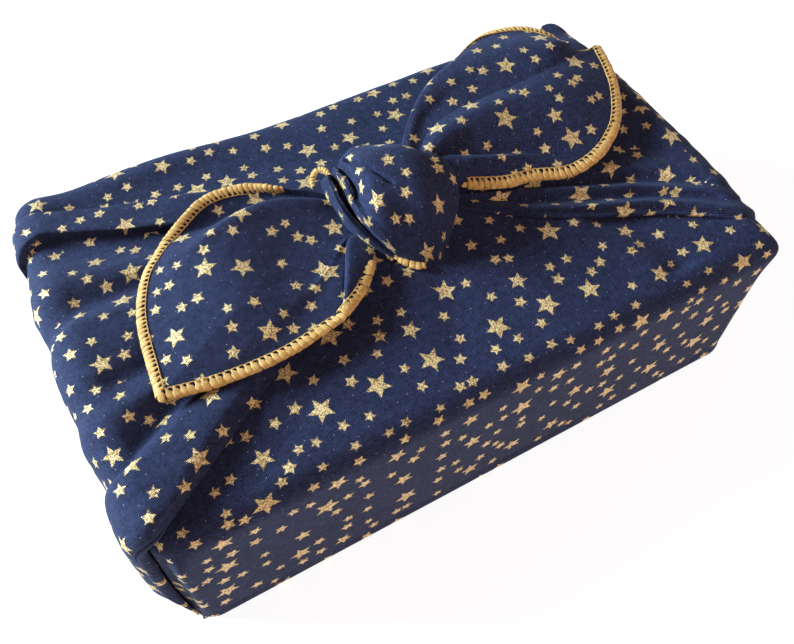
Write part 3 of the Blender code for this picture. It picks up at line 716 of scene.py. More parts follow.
LEAST_LIFT = 0.2  # mm between a bundle and the flat cloth under it
LEAST_HIGH = 0.3  # mm, for a line of a bundle before it flattens
FLATTENING = (2.5, 3.0)  # levels between which the folds flatten
FOOT_SHARE = 0.12  # share of their height that is left
TUCKED = 6  # mm that an edge runs on under its bundle
ROLLED_EDGE = ((1.2, 0), (0.3, 0.3), (0, 1), (0.3, 1.7), (1.2, 2))  # inwards and up, in radii of the roll
LEVEL_LENGTH = 90.0 / 4  # mm to a level, for the wrinkles
WRINKLE = (0.25, 12, 11)  # height, wave length and seed, where the folds stand over 1 mm
LEAST_HEIGHT = 0.0006  # metres above the floor
SPARE_SHOWN = 0.8  # share of the gathered cloth that the print counts in
BUNDLE_SEEDS = {"left": 21, "right": 22}
PRINT_TURN, PRINT_SHIFT = 0.9, 0.5  # radians and metres, at random from valley to valley


def across_bundle(lines, level):
    """The bundle's section at a level: places across the end and heights, with both edges rolled under."""
    table = np.array([(line[1], line[2]) for line in lines], float)
    at, high = flowing(BUNDLE_LEVELS, np.moveaxis(table, 2, 0), level).T
    fade = 1.0 - float(eased(FLATTENING, (0.0, 1.0), level))
    high = np.maximum(high, LEAST_HIGH) * (FOOT_SHARE + (1.0 - FOOT_SHARE) * fade)
    scale = max(min(level, 1.0), NARROWEST)
    points = np.stack([at, high], axis=1)[1:-1]
    ends = []
    for place, radius, inward in ((at[0], high[0], 1.0), (at[-1], high[-1], -1.0)):
        wide = inward * radius / scale
        rolled = [(place + inward * TUCKED / scale, LEAST_LIFT)]
        rolled += [(place + across * wide, up * radius + LEAST_LIFT) for across, up in ROLLED_EDGE]
        ends.append(rolled)
    section = np.concatenate([ends[0], points, ends[1][::-1]])
    return through(section, np.linspace(0, 1, SPAN_STEPS * (len(section) - 1) + 1))


def bundle(side):
    """One gathered end: a sheet with rolled edges that runs from under the knot to the foot.

    Its sections stand on the shell along its normals, and a ripple wrinkles the folds.
    """
    lines = BUNDLES[side]
    wrinkle_high, wrinkle_size, wrinkle_seed = WRINKLE
    rows = []
    for level in stretches(BUNDLE_STOPS, BUNDLE_ROWS):
        at, high = across_bundle(lines, level).T
        points, normals = shell(place_along(side, at), level)
        scale = max(min(level, 1.0), NARROWEST)
        places = np.stack([at * scale, np.full(len(at), level * LEVEL_LENGTH)], axis=-1)
        wrinkled = ripple(places, wrinkle_size, wrinkle_seed) * np.clip((high - 1.0) / 2, 0, 1)
        placed = points + normals * ((high + wrinkle_high * wrinkled) * MM)[:, None]
        placed[:, 2] = np.maximum(placed[:, 2], LEAST_HEIGHT)
        rows.append(placed)
    net = np.array(rows)
    flat = unfolded(net)
    spare = np.linalg.norm(np.diff(net, axis=1), axis=2) - np.abs(np.diff(flat[..., 1], axis=1))
    flat[:, 1:, 1] += np.cumsum(np.maximum(spare, 0), axis=1) * SPARE_SHOWN
    valleys = [i + len(ROLLED_EDGE) for i, line in enumerate(lines) if line[0] == "valley"]
    number = np.searchsorted(np.array(valleys) * SPAN_STEPS, np.arange(net.shape[1] - 1), side="right")
    picks = np.random.default_rng(BUNDLE_SEEDS[side])
    count = len(valleys) + 1
    turns = picks.uniform(-PRINT_TURN, PRINT_TURN, count)
    table = np.stack([turns, picks.uniform(0, PRINT_SHIFT, count), picks.uniform(0, PRINT_SHIFT, count)], 1)
    turns = np.broadcast_to(table[number], (len(net) - 1, len(number), 3))
    return cloth_sheet(side + "_bundle", net, flat, turns, flip=side == "right")


# ---------------------------------------------------------------------------------------------------------
# Cloth laid through tables of points. A run is a line of points in mm from the middle of the top, with as
# many points as its neighbours; the cloth passes smoothly from run to run, and turns sharply at a crease.
# ---------------------------------------------------------------------------------------------------------

KNOT_RUNS = (
    # from under the left side, over the knot, to under the right side; each from the back to the front foot
    (
        (-14, 22, 3), (-15.5, 27, 6), (-18.5, 29, 8), (-20, 22, 8), (-20.5, 13, 8), (-20.3, 4, 7),
        (-18.5, -3, 6), (-15, -11, 4.5), (-10.5, -17, 2),
    ),
    (
        (-14, 25, 5), (-18, 31, 9), (-21.6, 32.3, 12), (-23.1, 23.3, 12), (-23.1, 14.3, 11), (-23, 4.7, 10),
        (-21.3, -1.4, 9), (-18.2, -11.7, 8), (-12.5, -22, 7),
    ),
    (
        (-14, 27, 8), (-17.5, 29, 15), (-20.7, 28.2, 19), (-23.4, 16.9, 21.5), (-24.3, 7.6, 21.5),
        (-24.1, -0.8, 20), (-22.1, -7.7, 17), (-18, -14.5, 13), (-11.5, -22.1, 8),
    ),
    (
        (-14, 28, 10), (-17, 28.5, 18), (-20.1, 24.9, 23), (-22, 15.7, 24.5), (-23.1, 7.1, 24),
        (-22.7, 0.2, 22.5), (-20.7, -6.7, 19.5), (-16.9, -14.4, 15), (-10.8, -22.6, 8.5),
    ),
    (
        (-13, 27, 9), (-15.5, 27.5, 13), (-16.5, 30.1, 16.5), (-17.3, 22.9, 15.5), (-18.3, 14.2, 15),
        (-18.2, 5.9, 14.5), (-17.3, -3.2, 14.5), (-14.7, -13, 13), (-9.9, -22, 8),
    ),
    (
        (-13, 29, 10), (-15, 29, 19), (-16.6, 24.8, 26.5), (-16.9, 13.9, 28), (-18.7, 4.5, 28),
        (-19.7, -2.7, 27), (-19.5, -10.1, 25), (-15.6, -16.8, 18.5), (-9.2, -23.6, 9),
    ),
    (
        (-12, 29, 10), (-13.5, 28.5, 17), (-13.7, 27.2, 22), (-14.1, 18.1, 22.5), (-14.4, 9.9, 24),
        (-16.7, -1.3, 28), (-17.3, -10.4, 28), (-14.2, -18.2, 21.5), (-8.2, -24.5, 9),
    ),
    (
        (-10, 30, 10), (-11.5, 30, 20), (-12.7, 25.6, 29), (-12.6, 14.3, 32.5), (-12.9, 4.5, 34.5),
        (-13.1, -5.4, 35), (-12.5, -14.5, 32), (-8.7, -20.8, 21), (-4.5, -28, 8),
    ),
    (
        (-6, 31, 9), (-6.5, 30.5, 21), (-6, 27.6, 31.5), (-6.2, 15.5, 37), (-5.4, 5.2, 38.4),
        (-4.2, -5, 37), (-2.8, -16, 30.3), (-1, -26, 17.5), (0.5, -30.5, 5),
    ),
    (
        (3, 29, 9), (3, 28, 21), (3, 24.5, 31.8), (4.5, 14, 37.8), (6, 4.5, 39.4), (6.5, -6, 37.5),
        (6.5, -17.5, 30.5), (6, -28, 17), (5.5, -31.5, 5),
    ),
    (
        (12, 24, 10), (12.5, 23, 21), (13, 19.5, 31), (14.5, 11, 36.2), (15.8, 2.5, 37.5), (16, -7, 35.5),
        (14.5, -16.5, 28.5), (12, -26, 16), (10, -29, 5),
    ),
    (
        (20, 17, 10), (21, 16, 20), (22, 12.5, 29), (23.6, 7, 33), (24.5, 0, 33.3), (24, -7.5, 31),
        (21, -15.5, 24.5), (17, -23.5, 14), (14, -26, 4),
    ),
    (
        (25, 11, 10), (27, 10, 17), (28.5, 8, 23.5), (30, 4, 26), (30.6, -1, 26), (29.8, -7, 24.4),
        (26.6, -14, 19), (21, -20.5, 11.5), (17, -23, 4),
    ),
    (
        (24, 9, 6), (27, 8, 12), (29.5, 6, 15.5), (31, 2, 16.6), (31, -3, 16.5), (29.8, -8, 15),
        (26.2, -13.5, 11.5), (20.5, -18.5, 7), (16, -20, 3),
    ),
    (
        (19, 6, 3), (21, 5, 6), (23, 3, 7), (24, 0, 7), (24, -4, 7), (23, -8, 6.5), (20, -11, 5),
        (16.5, -14.5, 4), (13, -16, 2),
    ),
)
KNOT_CREASE_RUNS = (4, 6)
# A thin fold over the top, with a soft swell above it, and shallow forms down the front and the right
THIN_FOLD = [
    (-11.7, 24.6, 29.5), (-10.7, 16.6, 33.5), (-8.7, 11.0, 35.5), (-6.7, 6.4, 37.5),
    (-5.7, 2.8, 38.2), (-3.9, -2.5, 38.4), (-1.8, -7.3, 38),
]
KNOT_CREASES = (
    crease(-3.4, (0.7, 0.75), THIN_FOLD, sharp=1.2, fade=(0.05, 0.12)),
    crease(0.9, (5.5, 0.5), THIN_FOLD, sharp=1.6, fade=(0.2, 0.5)),
    crease(-0.9, (5.0, 4.0), [(18, 22, 34), (21, 8, 35), (18, -8, 34), (13, -20, 26)], fade=(0.1, 0.3)),
    crease(0.8, (7.0, 7.0), [(6, 22, 38), (9, 4, 40), (8, -12, 36), (5, -26, 22)], fade=(0.2, 0.2)),
)
KNOT_RIPPLES = ((0.12, 9, 5), (0.3, 22, 6))
KNOT_STEPS, KNOT_ROWS = 26, 190
KNOT_PRINT = (0.4, (0.21, 0.13))  # radians and metres
EARS = {
    # runs from the knot out to the edge, in order round the ear
    "left": {
        "creases": (10,),
        "corners": (7,),
        "runs": (
            ((-13, 12, 9), (-18, 18, 12), (-24, 23, 14.5), (-29, 27, 16), (-34, 30.5, 16), (-39, 34, 15.7)),
            ((-13, 12, 8), (-22, 21, 10.5), (-33, 30, 12), (-41, 36, 12), (-48, 40, 13), (-55, 44.5, 14.6)),
            ((-13, 11, 8), (-25, 21, 12.5), (-39, 30, 12), (-52, 36.5, 10), (-63, 41, 11), (-74, 47, 13.8)),
            (
                (-13, 10, 8), (-28, 21, 15.5), (-46, 29.5, 14.5), (-64, 34, 11.5), (-79, 34, 10.5),
                (-93, 36.5, 13),
            ),
            (
                (-14, 8, 8), (-30, 18, 16.5), (-49, 25.5, 20.5), (-69, 24.5, 22), (-87, 21, 20),
                (-104.5, 27, 13),
            ),
            (
                (-14, 5, 11), (-33, 11, 15), (-54, 15.5, 18.5), (-76, 14.5, 21.2), (-95, 13, 19.2),
                (-114, 17, 12.2),
            ),
            (
                (-14, 2, 11.5), (-33, 1, 13.4), (-56, 0.5, 15.2), (-80, -1, 20), (-100, -2, 17.8),
                (-122.5, -3.5, 11.3),
            ),
            (
                (-14, 0, 11.5), (-32, -5.2, 12.8), (-56, -12.5, 13.6), (-81, -20, 19), (-103, -29, 16.4),
                (-127.4, -39.6, 10.5),
            ),
            (
                (-13, -1, 11), (-30, -6.6, 13.0), (-47, -17.5, 12.4), (-67, -28, 15.2), (-85, -37, 14.6),
                (-104, -44.5, 11),
            ),
            (
                (-13, -1.5, 10.5), (-27, -5.2, 13.1), (-37, -13.5, 12.6), (-50, -25, 12.4),
                (-63, -35.5, 12.4), (-76, -46, 11.7),
            ),
            (
                (-13, -2.5, 9), (-24.2, -4.4, 12.7), (-28.5, -8.5, 12), (-34, -18.5, 11.8),
                (-40, -29.5, 11.4), (-48, -41.5, 12),
            ),
            (
                (-12, -5, 7), (-21.2, -6.2, 13.2), (-27, -9.8, 15.2), (-32.4, -19.4, 15.4),
                (-38, -29.4, 14.6), (-44.5, -39.8, 13),
            ),
            (
                (-11, -8, 7), (-16, -9.5, 11.4), (-20.5, -15, 12.8), (-24.5, -21, 12.8), (-28.5, -26, 12.2),
                (-32.5, -32, 11.8),
            ),
            (
                (-10, -9, 6), (-13.5, -11.5, 9), (-16.3, -14, 10.9), (-18.4, -16.5, 11.8), (-20.3, -19, 12),
                (-22.3, -21, 12),
            ),
        ),
    },
    "right": {
        "creases": (),
        "corners": (9,),
        "runs": (
            ((14, -7, 15), (18, -7, 15.5), (22, -6.8, 16), (26, -6, 16.3), (30, -5, 17), (34, -4.5, 17)),
            ((14, -6, 18), (21, -3, 20), (29, -2, 21.5), (37, -2.5, 21), (45, -6, 18.5), (53.2, -12.1, 15)),
            ((14, -4, 21), (25, 1, 24), (37, 0.5, 25), (49, -2.5, 22.5), (60, -7.5, 18), (68, -14.2, 14)),
            (
                (14, -2, 23), (29, 4.8, 26.5), (44, 1.2, 24.5), (58, -3, 21.8), (71, -7.5, 18.5),
                (82, -19, 13),
            ),
            ((14, 0, 22), (29, 10.5, 24.5), (46, 5, 22), (62, 0, 19.5), (77, -6, 17.2), (93, -20, 13.5)),
            (
                (14, 2, 24), (35, 13.5, 27), (55, 8.5, 24.8), (74, 2.5, 22.2), (91, -4, 19.6),
                (107, -16.5, 14.9),
            ),
            (
                (14, 4, 26), (37, 13.5, 29), (60, 13.5, 27.6), (82, 10, 25.4), (103, 4.5, 22.8),
                (122, -6.5, 17.2),
            ),
            (
                (14, 5, 27), (37, 15, 30), (61, 19, 29.6), (85, 18, 27.8), (109, 14.5, 25.4),
                (133.5, 9.5, 19.5),
            ),
            (
                (14, 6.5, 27), (36, 18.5, 30), (60, 23.5, 29.8), (86, 24, 28.4), (113, 24, 26.4),
                (139.5, 24, 21.6),
            ),
            (
                (14, 8, 26.5), (36.5, 25.5, 27.4), (60, 30.5, 27.2), (87, 31.5, 27), (115, 34, 26.6),
                (144.5, 40, 21.8),
            ),
            (
                (14, 8.6, 27), (35, 28, 27.4), (58.5, 34.5, 27.6), (86, 37, 28), (119, 40, 28.5),
                (141.5, 43.5, 17.5),
            ),
            (
                (14, 9.5, 28), (33.5, 31, 27.8), (56, 40.5, 28.4), (84, 44.5, 29.5), (122, 46.5, 29.5),
                (136.5, 49, 15.5),
            ),
            (
                (13.5, 10.5, 28.5), (31.5, 32, 28.8), (53, 43.5, 29.5), (79, 51, 30.3), (112, 56, 28.6),
                (127, 60, 22.5),
            ),
            (
                (13, 11.5, 28.5), (29, 31.5, 29.2), (47, 45.5, 30.2), (67, 54.5, 30), (90, 63, 28),
                (114.5, 71, 23.8),
            ),
            (
                (13, 12, 28.5), (25.5, 29.5, 29), (40, 43.5, 30), (57, 54.5, 29.8), (74, 62.5, 28),
                (95, 75, 23),
            ),
            (
                (12, 12.5, 28), (21.5, 26.5, 28.5), (32, 38, 29), (45.5, 49.5, 28.6), (60, 58.5, 26.6),
                (75, 66.5, 20.5),
            ),
            (
                (12, 13, 27), (18.5, 23, 27.5), (26.5, 32.5, 28), (36, 41.5, 27.2), (46, 50, 24.5),
                (55, 56, 18.5),
            ),
            (
                (11, 13, 26), (14, 18, 26), (18, 23, 26.3), (22.3, 28.3, 25.6), (27, 33.5, 23.2),
                (31, 37.5, 18.5),
            ),
        ),
    },
}
EAR_RIPPLES = ((0.30, 30, 8), (0.14, 11, 9))
EAR_PRINTS = {"left": (0.5, (0.62, 0.31)), "right": (-0.35, (0.87, 0.55))}
CALM_BY_KNOT, CALM_BY_EDGE = 0.2, 0.1  # shares of an ear over which its ripples fade
RUN_ROWS = 120
RUN_STEPS = 22
HIDDEN_EDGE = 1.3  # mm of cloth inside the stitches
CLOTH_THICKNESS = 0.0008  # metres
INNER_ROW = -5  # the row from which the edge's outward direction is taken
SOFTENED = 9  # columns on each side over which it is averaged
FLATTEN_GRIDS, FLATTEN_ROUNDS, FLATTEN_PULL = (16, 8, 4), 160, 1.6


def laid_net(runs, sharp, steps, rows):
    """A net through a table of runs: its columns between the runs, its rows along them."""
    runs = np.asarray(runs, float)
    breaks = [0, *sorted(sharp), len(runs) - 1]
    found = []
    for first, last in zip(breaks[:-1], breaks[1:]):
        count = (last - first) * steps
        at = np.arange(count + (last == len(runs) - 1)) / count
        part = runs[first : last + 1]
        found.append(np.stack([through(part[:, k], at) for k in range(runs.shape[1])], axis=1))
    at = np.linspace(0, 1, rows)
    return np.stack([through(column, at) for column in np.concatenate(found)], axis=1)


def filled(values, known, count):
    """Values known at some places of their first axis, with straight lines between them."""
    columns = values.reshape(len(known), -1).T
    whole = np.stack([np.interp(np.arange(count), known, column) for column in columns], axis=1)
    return whole.reshape((count,) + values.shape[1:])


def laid_flat(net, start):
    """Flat places for a net of cloth, from a rough start, that keep its lengths as well as they can.

    Every few rows and columns are taken, and each pair of neighbours is pulled towards its length, over and
    over. What this moves is filled in between, and the next round takes a finer grid.
    """
    flat = np.array(start, float)
    for every in FLATTEN_GRIDS:
        row, col = (np.unique(np.append(np.arange(0, count, every), count - 1)) for count in net.shape[:2])
        fine, held = net[np.ix_(row, col)], flat[np.ix_(row, col)]
        before = held.copy()
        pairs = []
        for down, over in ((1, 0), (0, 1), (1, 1), (1, -1)):
            first = (slice(0, len(row) - down), slice(max(0, -over), len(col) - max(0, over)))
            second = (slice(down, None), slice(max(0, over), len(col) + min(0, over)))
            pairs.append((first, second, np.linalg.norm(fine[second] - fine[first], axis=2)))
        count = np.zeros(held.shape[:2] + (1,))
        for first, second, _ in pairs:
            count[first] += 1
            count[second] += 1
        for _ in range(FLATTEN_ROUNDS):
            pull = np.zeros_like(held)
            for first, second, length in pairs:
                step = held[second] - held[first]
                now = np.maximum(np.linalg.norm(step, axis=2), TINY)
                part = step * (0.5 * (1 - length / now))[..., None]
                pull[first] += part
                pull[second] -= part
            held += pull / count * FLATTEN_PULL
        whole_rows = filled(np.swapaxes(held - before, 0, 1), col, net.shape[1])
        flat += filled(np.swapaxes(whole_rows, 0, 1), row, net.shape[0])
    return flat


def knot():
    """The knot: a band over the crossing, with a rolled fold and a thin one down its left side."""
    net = laid_net(KNOT_RUNS, KNOT_CREASE_RUNS, KNOT_STEPS, KNOT_ROWS)
    middle = (net.shape[0] // 2, net.shape[1] // 2)
    facing = normals_of(net)
    facing *= np.sign(facing[middle][2])
    net = net + facing * (relief(net, facing, KNOT_CREASES) + ripples(net, KNOT_RIPPLES))[..., None]
    start = np.zeros(net.shape[:2] + (2,))
    start[:, 1:, 0] = np.cumsum(np.linalg.norm(np.diff(net, axis=1), axis=2), axis=1)
    start[1:, :, 1] = -np.cumsum(np.linalg.norm(np.diff(net, axis=0), axis=2), axis=0)
    start[..., 0] -= start[:, middle[1], 0][:, None]
    start[..., 1] -= start[middle[0], :, 1]
    angle, shift = KNOT_PRINT
    flat = turned(laid_flat(net, start), angle) * MM + shift
    return cloth_sheet("knot", net * MM + (0, 0, TOP), flat, flip=True)


def ear_net(side):
    """An ear's cloth as rows of points in mm from the knot to its edge, with its folds."""
    ear = EARS[side]
    net = laid_net(ear["runs"], ear["corners"] + ear["creases"], RUN_STEPS, RUN_ROWS)
    part = np.linspace(0, 1, RUN_ROWS)[:, None]
    fade = np.clip((1 - part) / CALM_BY_EDGE, 0, 1) * np.clip(part / CALM_BY_KNOT, 0, 1)
    net[..., 2] += ripples(net, EAR_RIPPLES) * fade
    return net


def edge_frame(net):
    """The edge's points with their outward and up directions.

    Outwards is the mean over the neighbouring columns, square to the edge.
    """
    edge = net[-1]
    steps = unit(np.diff(edge, axis=0))
    forward = unit(np.concatenate([steps[:1], steps]) + np.concatenate([steps, steps[-1:]]))
    outward = edge - net[INNER_ROW]
    outward[: RUN_STEPS // 2] = outward[RUN_STEPS // 2]
    outward[-RUN_STEPS // 2 :] = outward[-RUN_STEPS // 2 - 1]
    outward = square_to(outward, forward)
    padded = np.pad(outward, ((SOFTENED, SOFTENED), (0, 0)), mode="edge")
    soft = np.stack([padded[i : i + len(outward)] for i in range(2 * SOFTENED + 1)]).mean(axis=0)
    outward = square_to(soft, forward)
    return edge, outward, unit(np.cross(outward, forward))


def ear(side):
    """An ear: a thin sheet whose edge lies inside its stitches."""
    net = ear_net(side)
    _, outward, _ = edge_frame(net)
    net = np.concatenate([net, [net[-1] + outward * HIDDEN_EDGE]])
    angle, shift = EAR_PRINTS[side]
    flat = turned(laid_flat(net, net[..., :2]), angle) * MM + shift
    made = cloth_sheet(side + "_ear", net * MM + (0, 0, TOP), flat, flip=True)
    thick = made.modifiers.new("cloth", "SOLIDIFY")
    thick.thickness = CLOTH_THICKNESS
    thick.offset = 0.0
    return made


# ---------------------------------------------------------------------------------------------------------
# Stitches, each a loop of thread over the edge
# ---------------------------------------------------------------------------------------------------------

STITCH = (
    # mm across the edge from the cloth outwards, mm up, half width as a share of the pitch, half thickness
    (-2.65, 0.40, 0.16, 0.20),
    (-2.40, 0.72, 0.22, 0.24),
    (-1.85, 0.88, 0.24, 0.26),
    (-1.35, 0.96, 0.26, 0.28),
    (-0.95, 1.02, 0.38, 0.28),
    (-0.50, 1.05, 0.54, 0.30),
    (0.50, 1.04, 0.56, 0.33),
    (1.45, 0.84, 0.57, 0.35),
    (2.15, 0.15, 0.58, 0.36),
    (2.05, -0.55, 0.56, 0.34),
    (0.60, -0.85, 0.46, 0.30),
    (-1.20, -0.75, 0.28, 0.26),
    (-2.50, -0.15, 0.16, 0.20),
)
STITCH_ROWS, THREAD_SIDES = 25, 9
STITCH_REACH = 2.4  # mm across the edge over which a stitch leans by its whole lean
# The thin thread: mm outwards, mm up, how far it is pulled in between two stitches, its radius and its grid
CORD = {"out": -2.35, "up": 0.78, "sway": 0.25, "radius": 0.25, "rows": 6, "sides": 5}
SPACING = {
    # share of the edge walked, mm from stitch to stitch, lean of a stitch along the edge
    "left": (
        (0, 2.4, 0.4), (0.3, 2.3, 0.4), (0.5, 2.15, 0.4), (0.57, 2.9, 0.7), (0.75, 3.0, 0.8), (1, 2.8, 0.6),
    ),
    "right": (
        (0, 2.3, 0.5), (0.2, 2.5, 0.7), (0.3, 2.8, 1.2), (0.38, 2.2, 0.8), (0.5, 2.1, 0.4), (1, 2.2, 0.4),
    ),
    "trim": ((0, 2.5, 0.6), (1, 2.5, 0.6)),
}
EDGE_STEPS = 2000
FEWEST_STITCHES = 3
TAPER, TAPERED = 6.0, 0.45  # mm over which the band narrows under the knot, and its share there
UNEVEN = {"place": 0.1, "swing": (0.95, 1.06), "fat": (0.92, 1.08), "lean": 0.15}
FIBRE_REPEATS = 3  # of the thread's finish along a stitch
CORD_FIBRES = (0.8, 0.4)  # of the thread's finish, to a stitch and round the thin thread
CORD_MARGIN = 0.05  # stitches left off at both ends of the thin thread
EAR_STITCHES = {"left": (31, 1.0), "right": (32, 1.14)}  # seed and size
TRIM_SEED, TRIM_STEPS = 41, 40
TRIMS = {
    "loop_by_knot": {
        "path": [
            (-26.2, 30, 14), (-24.5, 34, 15), (-21.9, 36.4, 16),
            (-19.4, 36, 17), (-17.8, 32.6, 18), (-17.5, 29, 18),
        ],
        "from": (-21.5, 30, 15),
        "size": 0.62,
    },
    "edge_under_knot": {
        "path": [
            (-10.6, -20.4, 8.5), (-8.8, -23.6, 8), (-6.4, -26.8, 7.5), (-3.4, -29.8, 7), (-0.4, -31.8, 7),
        ],
        "from": (2, -22, 6),
        "size": 0.95,
    },
}


def tubes(centre, side, lift, wide, thick, sides):
    """Points of ellipses round thread centres (threads, rows, 3), and the faces between them.

    An end row without width closes each end.
    """
    centre, side, lift = (np.concatenate([v[:, :1], v, v[:, -1:]], axis=1) for v in (centre, side, lift))
    wide, thick = (np.pad(v, ((0, 0), (1, 1))) for v in (wide, thick))
    count, rows = centre.shape[:2]
    around = np.arange(sides + 1) / sides * 2 * math.pi
    across = wide[..., None, None] * np.cos(around)[:, None] * side[:, :, None]
    points = centre[:, :, None] + across + thick[..., None, None] * np.sin(around)[:, None] * lift[:, :, None]
    first = np.arange(count)[:, None, None] * rows * (sides + 1)
    here = first + np.arange(rows - 1)[None, :, None] * (sides + 1) + np.arange(sides)[None, None, :]
    faces = np.stack([here, here + 1, here + sides + 2, here + sides + 1], axis=-1).reshape(-1, 4)
    return points, faces


def tube_print(points, along, around):
    """Places on the thread's finish for the points of tubes: along each tube, and round it."""
    places = np.zeros(points.shape[:3] + (2,))
    places[..., 0] = along
    places[..., 1] = np.linspace(0, around, points.shape[2])
    return places.reshape(-1, 2)


def stitched(name, edge, outward, upward, seed, spacing, size=1.0):
    """Loops of soft thread over an edge, which is the middle of their band, and a thin thread along them.

    A stitch is one curve, set across the edge and up from it at even counts of the pitch, and leaning on it.
    The thin thread runs along their inner ends and swings out between them by a cosine.
    """
    walked = np.concatenate([[0], np.cumsum(np.linalg.norm(np.diff(edge, axis=0), axis=1))])
    total = walked[-1]
    shares, pitches, leans = np.array(spacing, float).T
    fine = np.linspace(0, total, EDGE_STEPS)
    pitch = np.interp(fine / total, shares, pitches) * size
    number = np.concatenate([[0], np.cumsum(np.diff(fine) / pitch[1:])])
    count = max(int(number[-1]), FEWEST_STITCHES)
    picks = np.random.default_rng(seed)

    def frame_at(numbers):
        """Distance, place, directions, lean and size of the band at counts of stitches along the edge."""
        at = np.interp(numbers * number[-1] / count, number, fine)
        found = []
        for line in (edge, outward, upward):
            found.append(np.stack([np.interp(at, walked, line[:, k]) for k in range(3)], axis=1))
        place, out, up = found[0], unit(found[1]), unit(found[2])
        lean = np.interp(at / total, shares, leans)
        grow = np.clip(np.minimum(at, total - at) / TAPER, 0, 1)
        grow = (TAPERED + (1 - TAPERED) * grow * (2 - grow)) * size
        return at, place, out, up, unit(np.cross(up, out)), lean, grow

    shaken = picks.uniform(-UNEVEN["place"], UNEVEN["place"], count)
    at, place, out, up, forward, lean, grow = frame_at(np.arange(count) + 0.5 + shaken)
    across, high, width, thickness = through(np.array(STITCH), np.linspace(0, 1, STITCH_ROWS)).T
    swing = picks.uniform(*UNEVEN["swing"], (count, 1)) * grow[:, None]
    fat = picks.uniform(*UNEVEN["fat"], (count, 1)) * np.interp(at, fine, pitch)[:, None]
    slant = picks.uniform(-UNEVEN["lean"], UNEVEN["lean"], (count, 1))
    slant = lean[:, None] * (across / STITCH_REACH) + slant
    centre = (
        place[:, None]
        + out[:, None] * (across * swing)[..., None]
        + up[:, None] * (high * swing)[..., None]
        + forward[:, None] * (slant * grow[:, None])[..., None]
    )
    run = unit(np.gradient(centre, axis=1))
    side = square_to(forward[:, None], run)
    thick = thickness * grow[:, None]
    loops, faces = tubes(centre, side, np.cross(run, side), width * fat, thick, THREAD_SIDES)
    along = np.linspace(0, 1, loops.shape[1])[:, None] * FIBRE_REPEATS + picks.uniform(0, 1, (count, 1, 1))
    loop_print = tube_print(loops, along, 1)

    numbers = np.linspace(CORD_MARGIN, count - CORD_MARGIN, count * CORD["rows"])
    _, place, out, up, forward, lean, grow = frame_at(numbers)
    bend = CORD["out"] - CORD["sway"] * np.abs(np.cos(numbers * math.pi))
    line = place + out * (bend * grow)[:, None] + up * (CORD["up"] * grow)[:, None]
    line -= forward * (lean * grow)[:, None]
    run = unit(np.gradient(line, axis=0))
    side = unit(np.cross(run, up))
    radius = (CORD["radius"] * grow)[None]
    cord, more = tubes(line[None], side[None], np.cross(run, side)[None], radius, radius, CORD["sides"])
    along = (np.pad(numbers, 1, mode="edge") * CORD_FIBRES[0])[:, None]
    cord_print = tube_print(cord, along, CORD_FIBRES[1])

    points = np.concatenate([loops.reshape(-1, 3), cord.reshape(-1, 3)]) * MM + (0, 0, TOP)
    faces = np.concatenate([faces, more + loops.size // 3])
    places = np.concatenate([loop_print, cord_print])
    return mesh_object(name, points, faces, places[faces], THREAD, closed=True)


def ear_stitches(side):
    """The stitches round an ear's edge."""
    seed, size = EAR_STITCHES[side]
    return stitched(side + "_ear_stitches", *edge_frame(ear_net(side)), seed, SPACING[side], size)


def trim(name):
    """A short stretch of stitched edge that shows beside or under the knot."""
    row = TRIMS[name]
    edge = through(row["path"], np.linspace(0, 1, TRIM_STEPS))
    forward = unit(np.gradient(edge, axis=0))
    outward = square_to(edge - np.array(row["from"], float), forward)
    upward = unit(np.cross(forward, outward))
    if upward[TRIM_STEPS // 2, 2] < 0:
        upward = -upward
    return stitched(name, edge, outward, upward, TRIM_SEED, SPACING["trim"], row["size"])


# ---------------------------------------------------------------------------------------------------------
# Assembly
# ---------------------------------------------------------------------------------------------------------

FLOOR_REACH, FLOOR_HEIGHT = 4, -0.0004
FLOOR_GREY, FLOOR_GLOW = (0.35, 0.35, 0.35, 1), 0.86
SKY, SKY_STRENGTH = (1.0, 0.87, 0.86, 1), 0.22
LAMPS = {
    # place, size, watts and colour; each is aimed at the middle of the box
    "window": ((-1.43, 0.96, 0.83), 0.75, 115, (0.53, 0.76, 1.0)),
    "room": ((0.5, -1.4, 0.95), 1.2, 9, (1.0, 0.80, 0.86)),
}
LAMP_AIM = (0, 0, 0.05)
LENS, SENSOR_WIDTH, CLIP_START = 37.22, 36.0, 0.01
CAMERA_AXES = {
    "right": (0.87456, -0.48488, -0.00559),
    "up": (0.40393, 0.72208, 0.56165),
    "back": (-0.26830, -0.49345, 0.82736),
    "place": (-0.120945, -0.225614, 0.297867 + TOP),
}


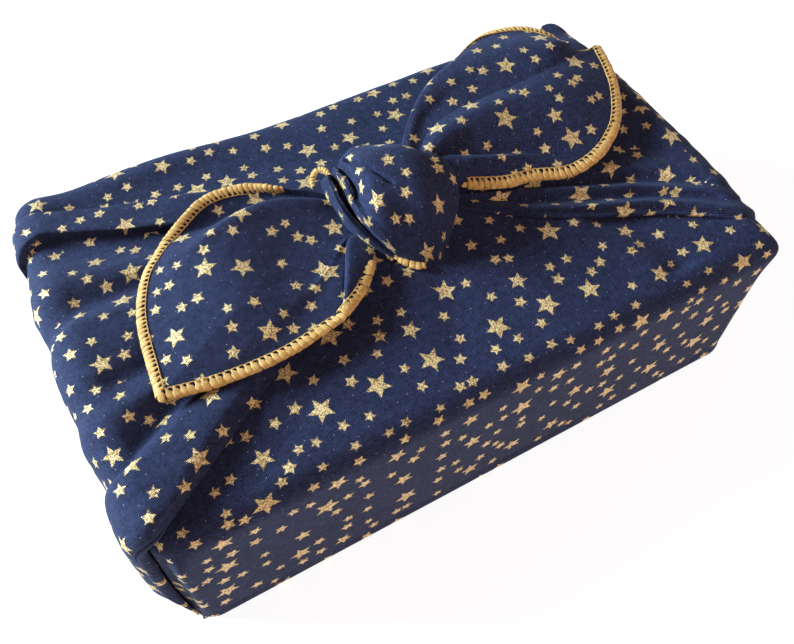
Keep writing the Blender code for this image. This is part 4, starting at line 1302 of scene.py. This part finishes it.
def dress():
    """Every piece, on its body, in the place of its solid."""
    made = [panels(), base_panel(), bundle("left"), bundle("right"), knot(), ear("left"), ear("right")]
    for piece in made:
        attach(piece, "root")
        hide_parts("wrap_cloth")
    for side in ("left", "right"):
        piece = ear_stitches(side)
        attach(piece, "root")
        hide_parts(side + "_ear_edging")
    for name in TRIMS:
        piece = trim(name)
        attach(piece, "root")
    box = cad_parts["inner_box"]
    for slot in box.material_slots:
        slot.material = CARD


def pale_floor():
    """A plain pale floor, one square."""
    signs = ((-1, -1), (1, -1), (1, 1), (-1, 1))
    corners = [(x * FLOOR_REACH, y * FLOOR_REACH, FLOOR_HEIGHT) for x, y in signs]
    mesh = bpy.data.meshes.new("floor")
    mesh.from_pydata(corners, [], [(0, 1, 2, 3)])
    pale, core, _ = shader("pale_floor", 0.9)
    core.inputs["Base Color"].default_value = FLOOR_GREY
    core.inputs["Emission Color"].default_value = (1, 1, 1, 1)
    core.inputs["Emission Strength"].default_value = FLOOR_GLOW
    mesh.materials.append(pale)
    floor = bpy.data.objects.new("floor", mesh)
    bpy.context.scene.collection.objects.link(floor)


def studio():
    """A pale floor, soft daylight from the upper left, a little light from the room, and the camera."""
    pale_floor()
    world = bpy.data.worlds.new("studio")
    world.use_nodes = True
    world.node_tree.nodes["Background"].inputs[0].default_value = SKY
    world.node_tree.nodes["Background"].inputs[1].default_value = SKY_STRENGTH
    bpy.context.scene.world = world
    bpy.context.scene.view_settings.view_transform = "Standard"
    for name, (place, size, watts, colour) in LAMPS.items():
        lamp = bpy.data.lights.new(name, "AREA")
        lamp.shape = "DISK"
        lamp.size = size
        lamp.energy = watts
        lamp.color = colour
        made = bpy.data.objects.new(name, lamp)
        made.location = place
        away = np.array(LAMP_AIM, float) - np.array(place, float)
        made.rotation_euler = mathutils.Vector(away).to_track_quat("-Z", "Y").to_euler()
        bpy.context.scene.collection.objects.link(made)

    lens = bpy.data.cameras.new("camera")
    lens.lens, lens.sensor_width, lens.clip_start = LENS, SENSOR_WIDTH, CLIP_START
    camera = bpy.data.objects.new("camera", lens)
    camera.matrix_world = mathutils.Matrix([*zip(*CAMERA_AXES.values()), (0, 0, 0, 1)])
    bpy.context.scene.collection.objects.link(camera)
    bpy.context.scene.camera = camera


dress()
studio()
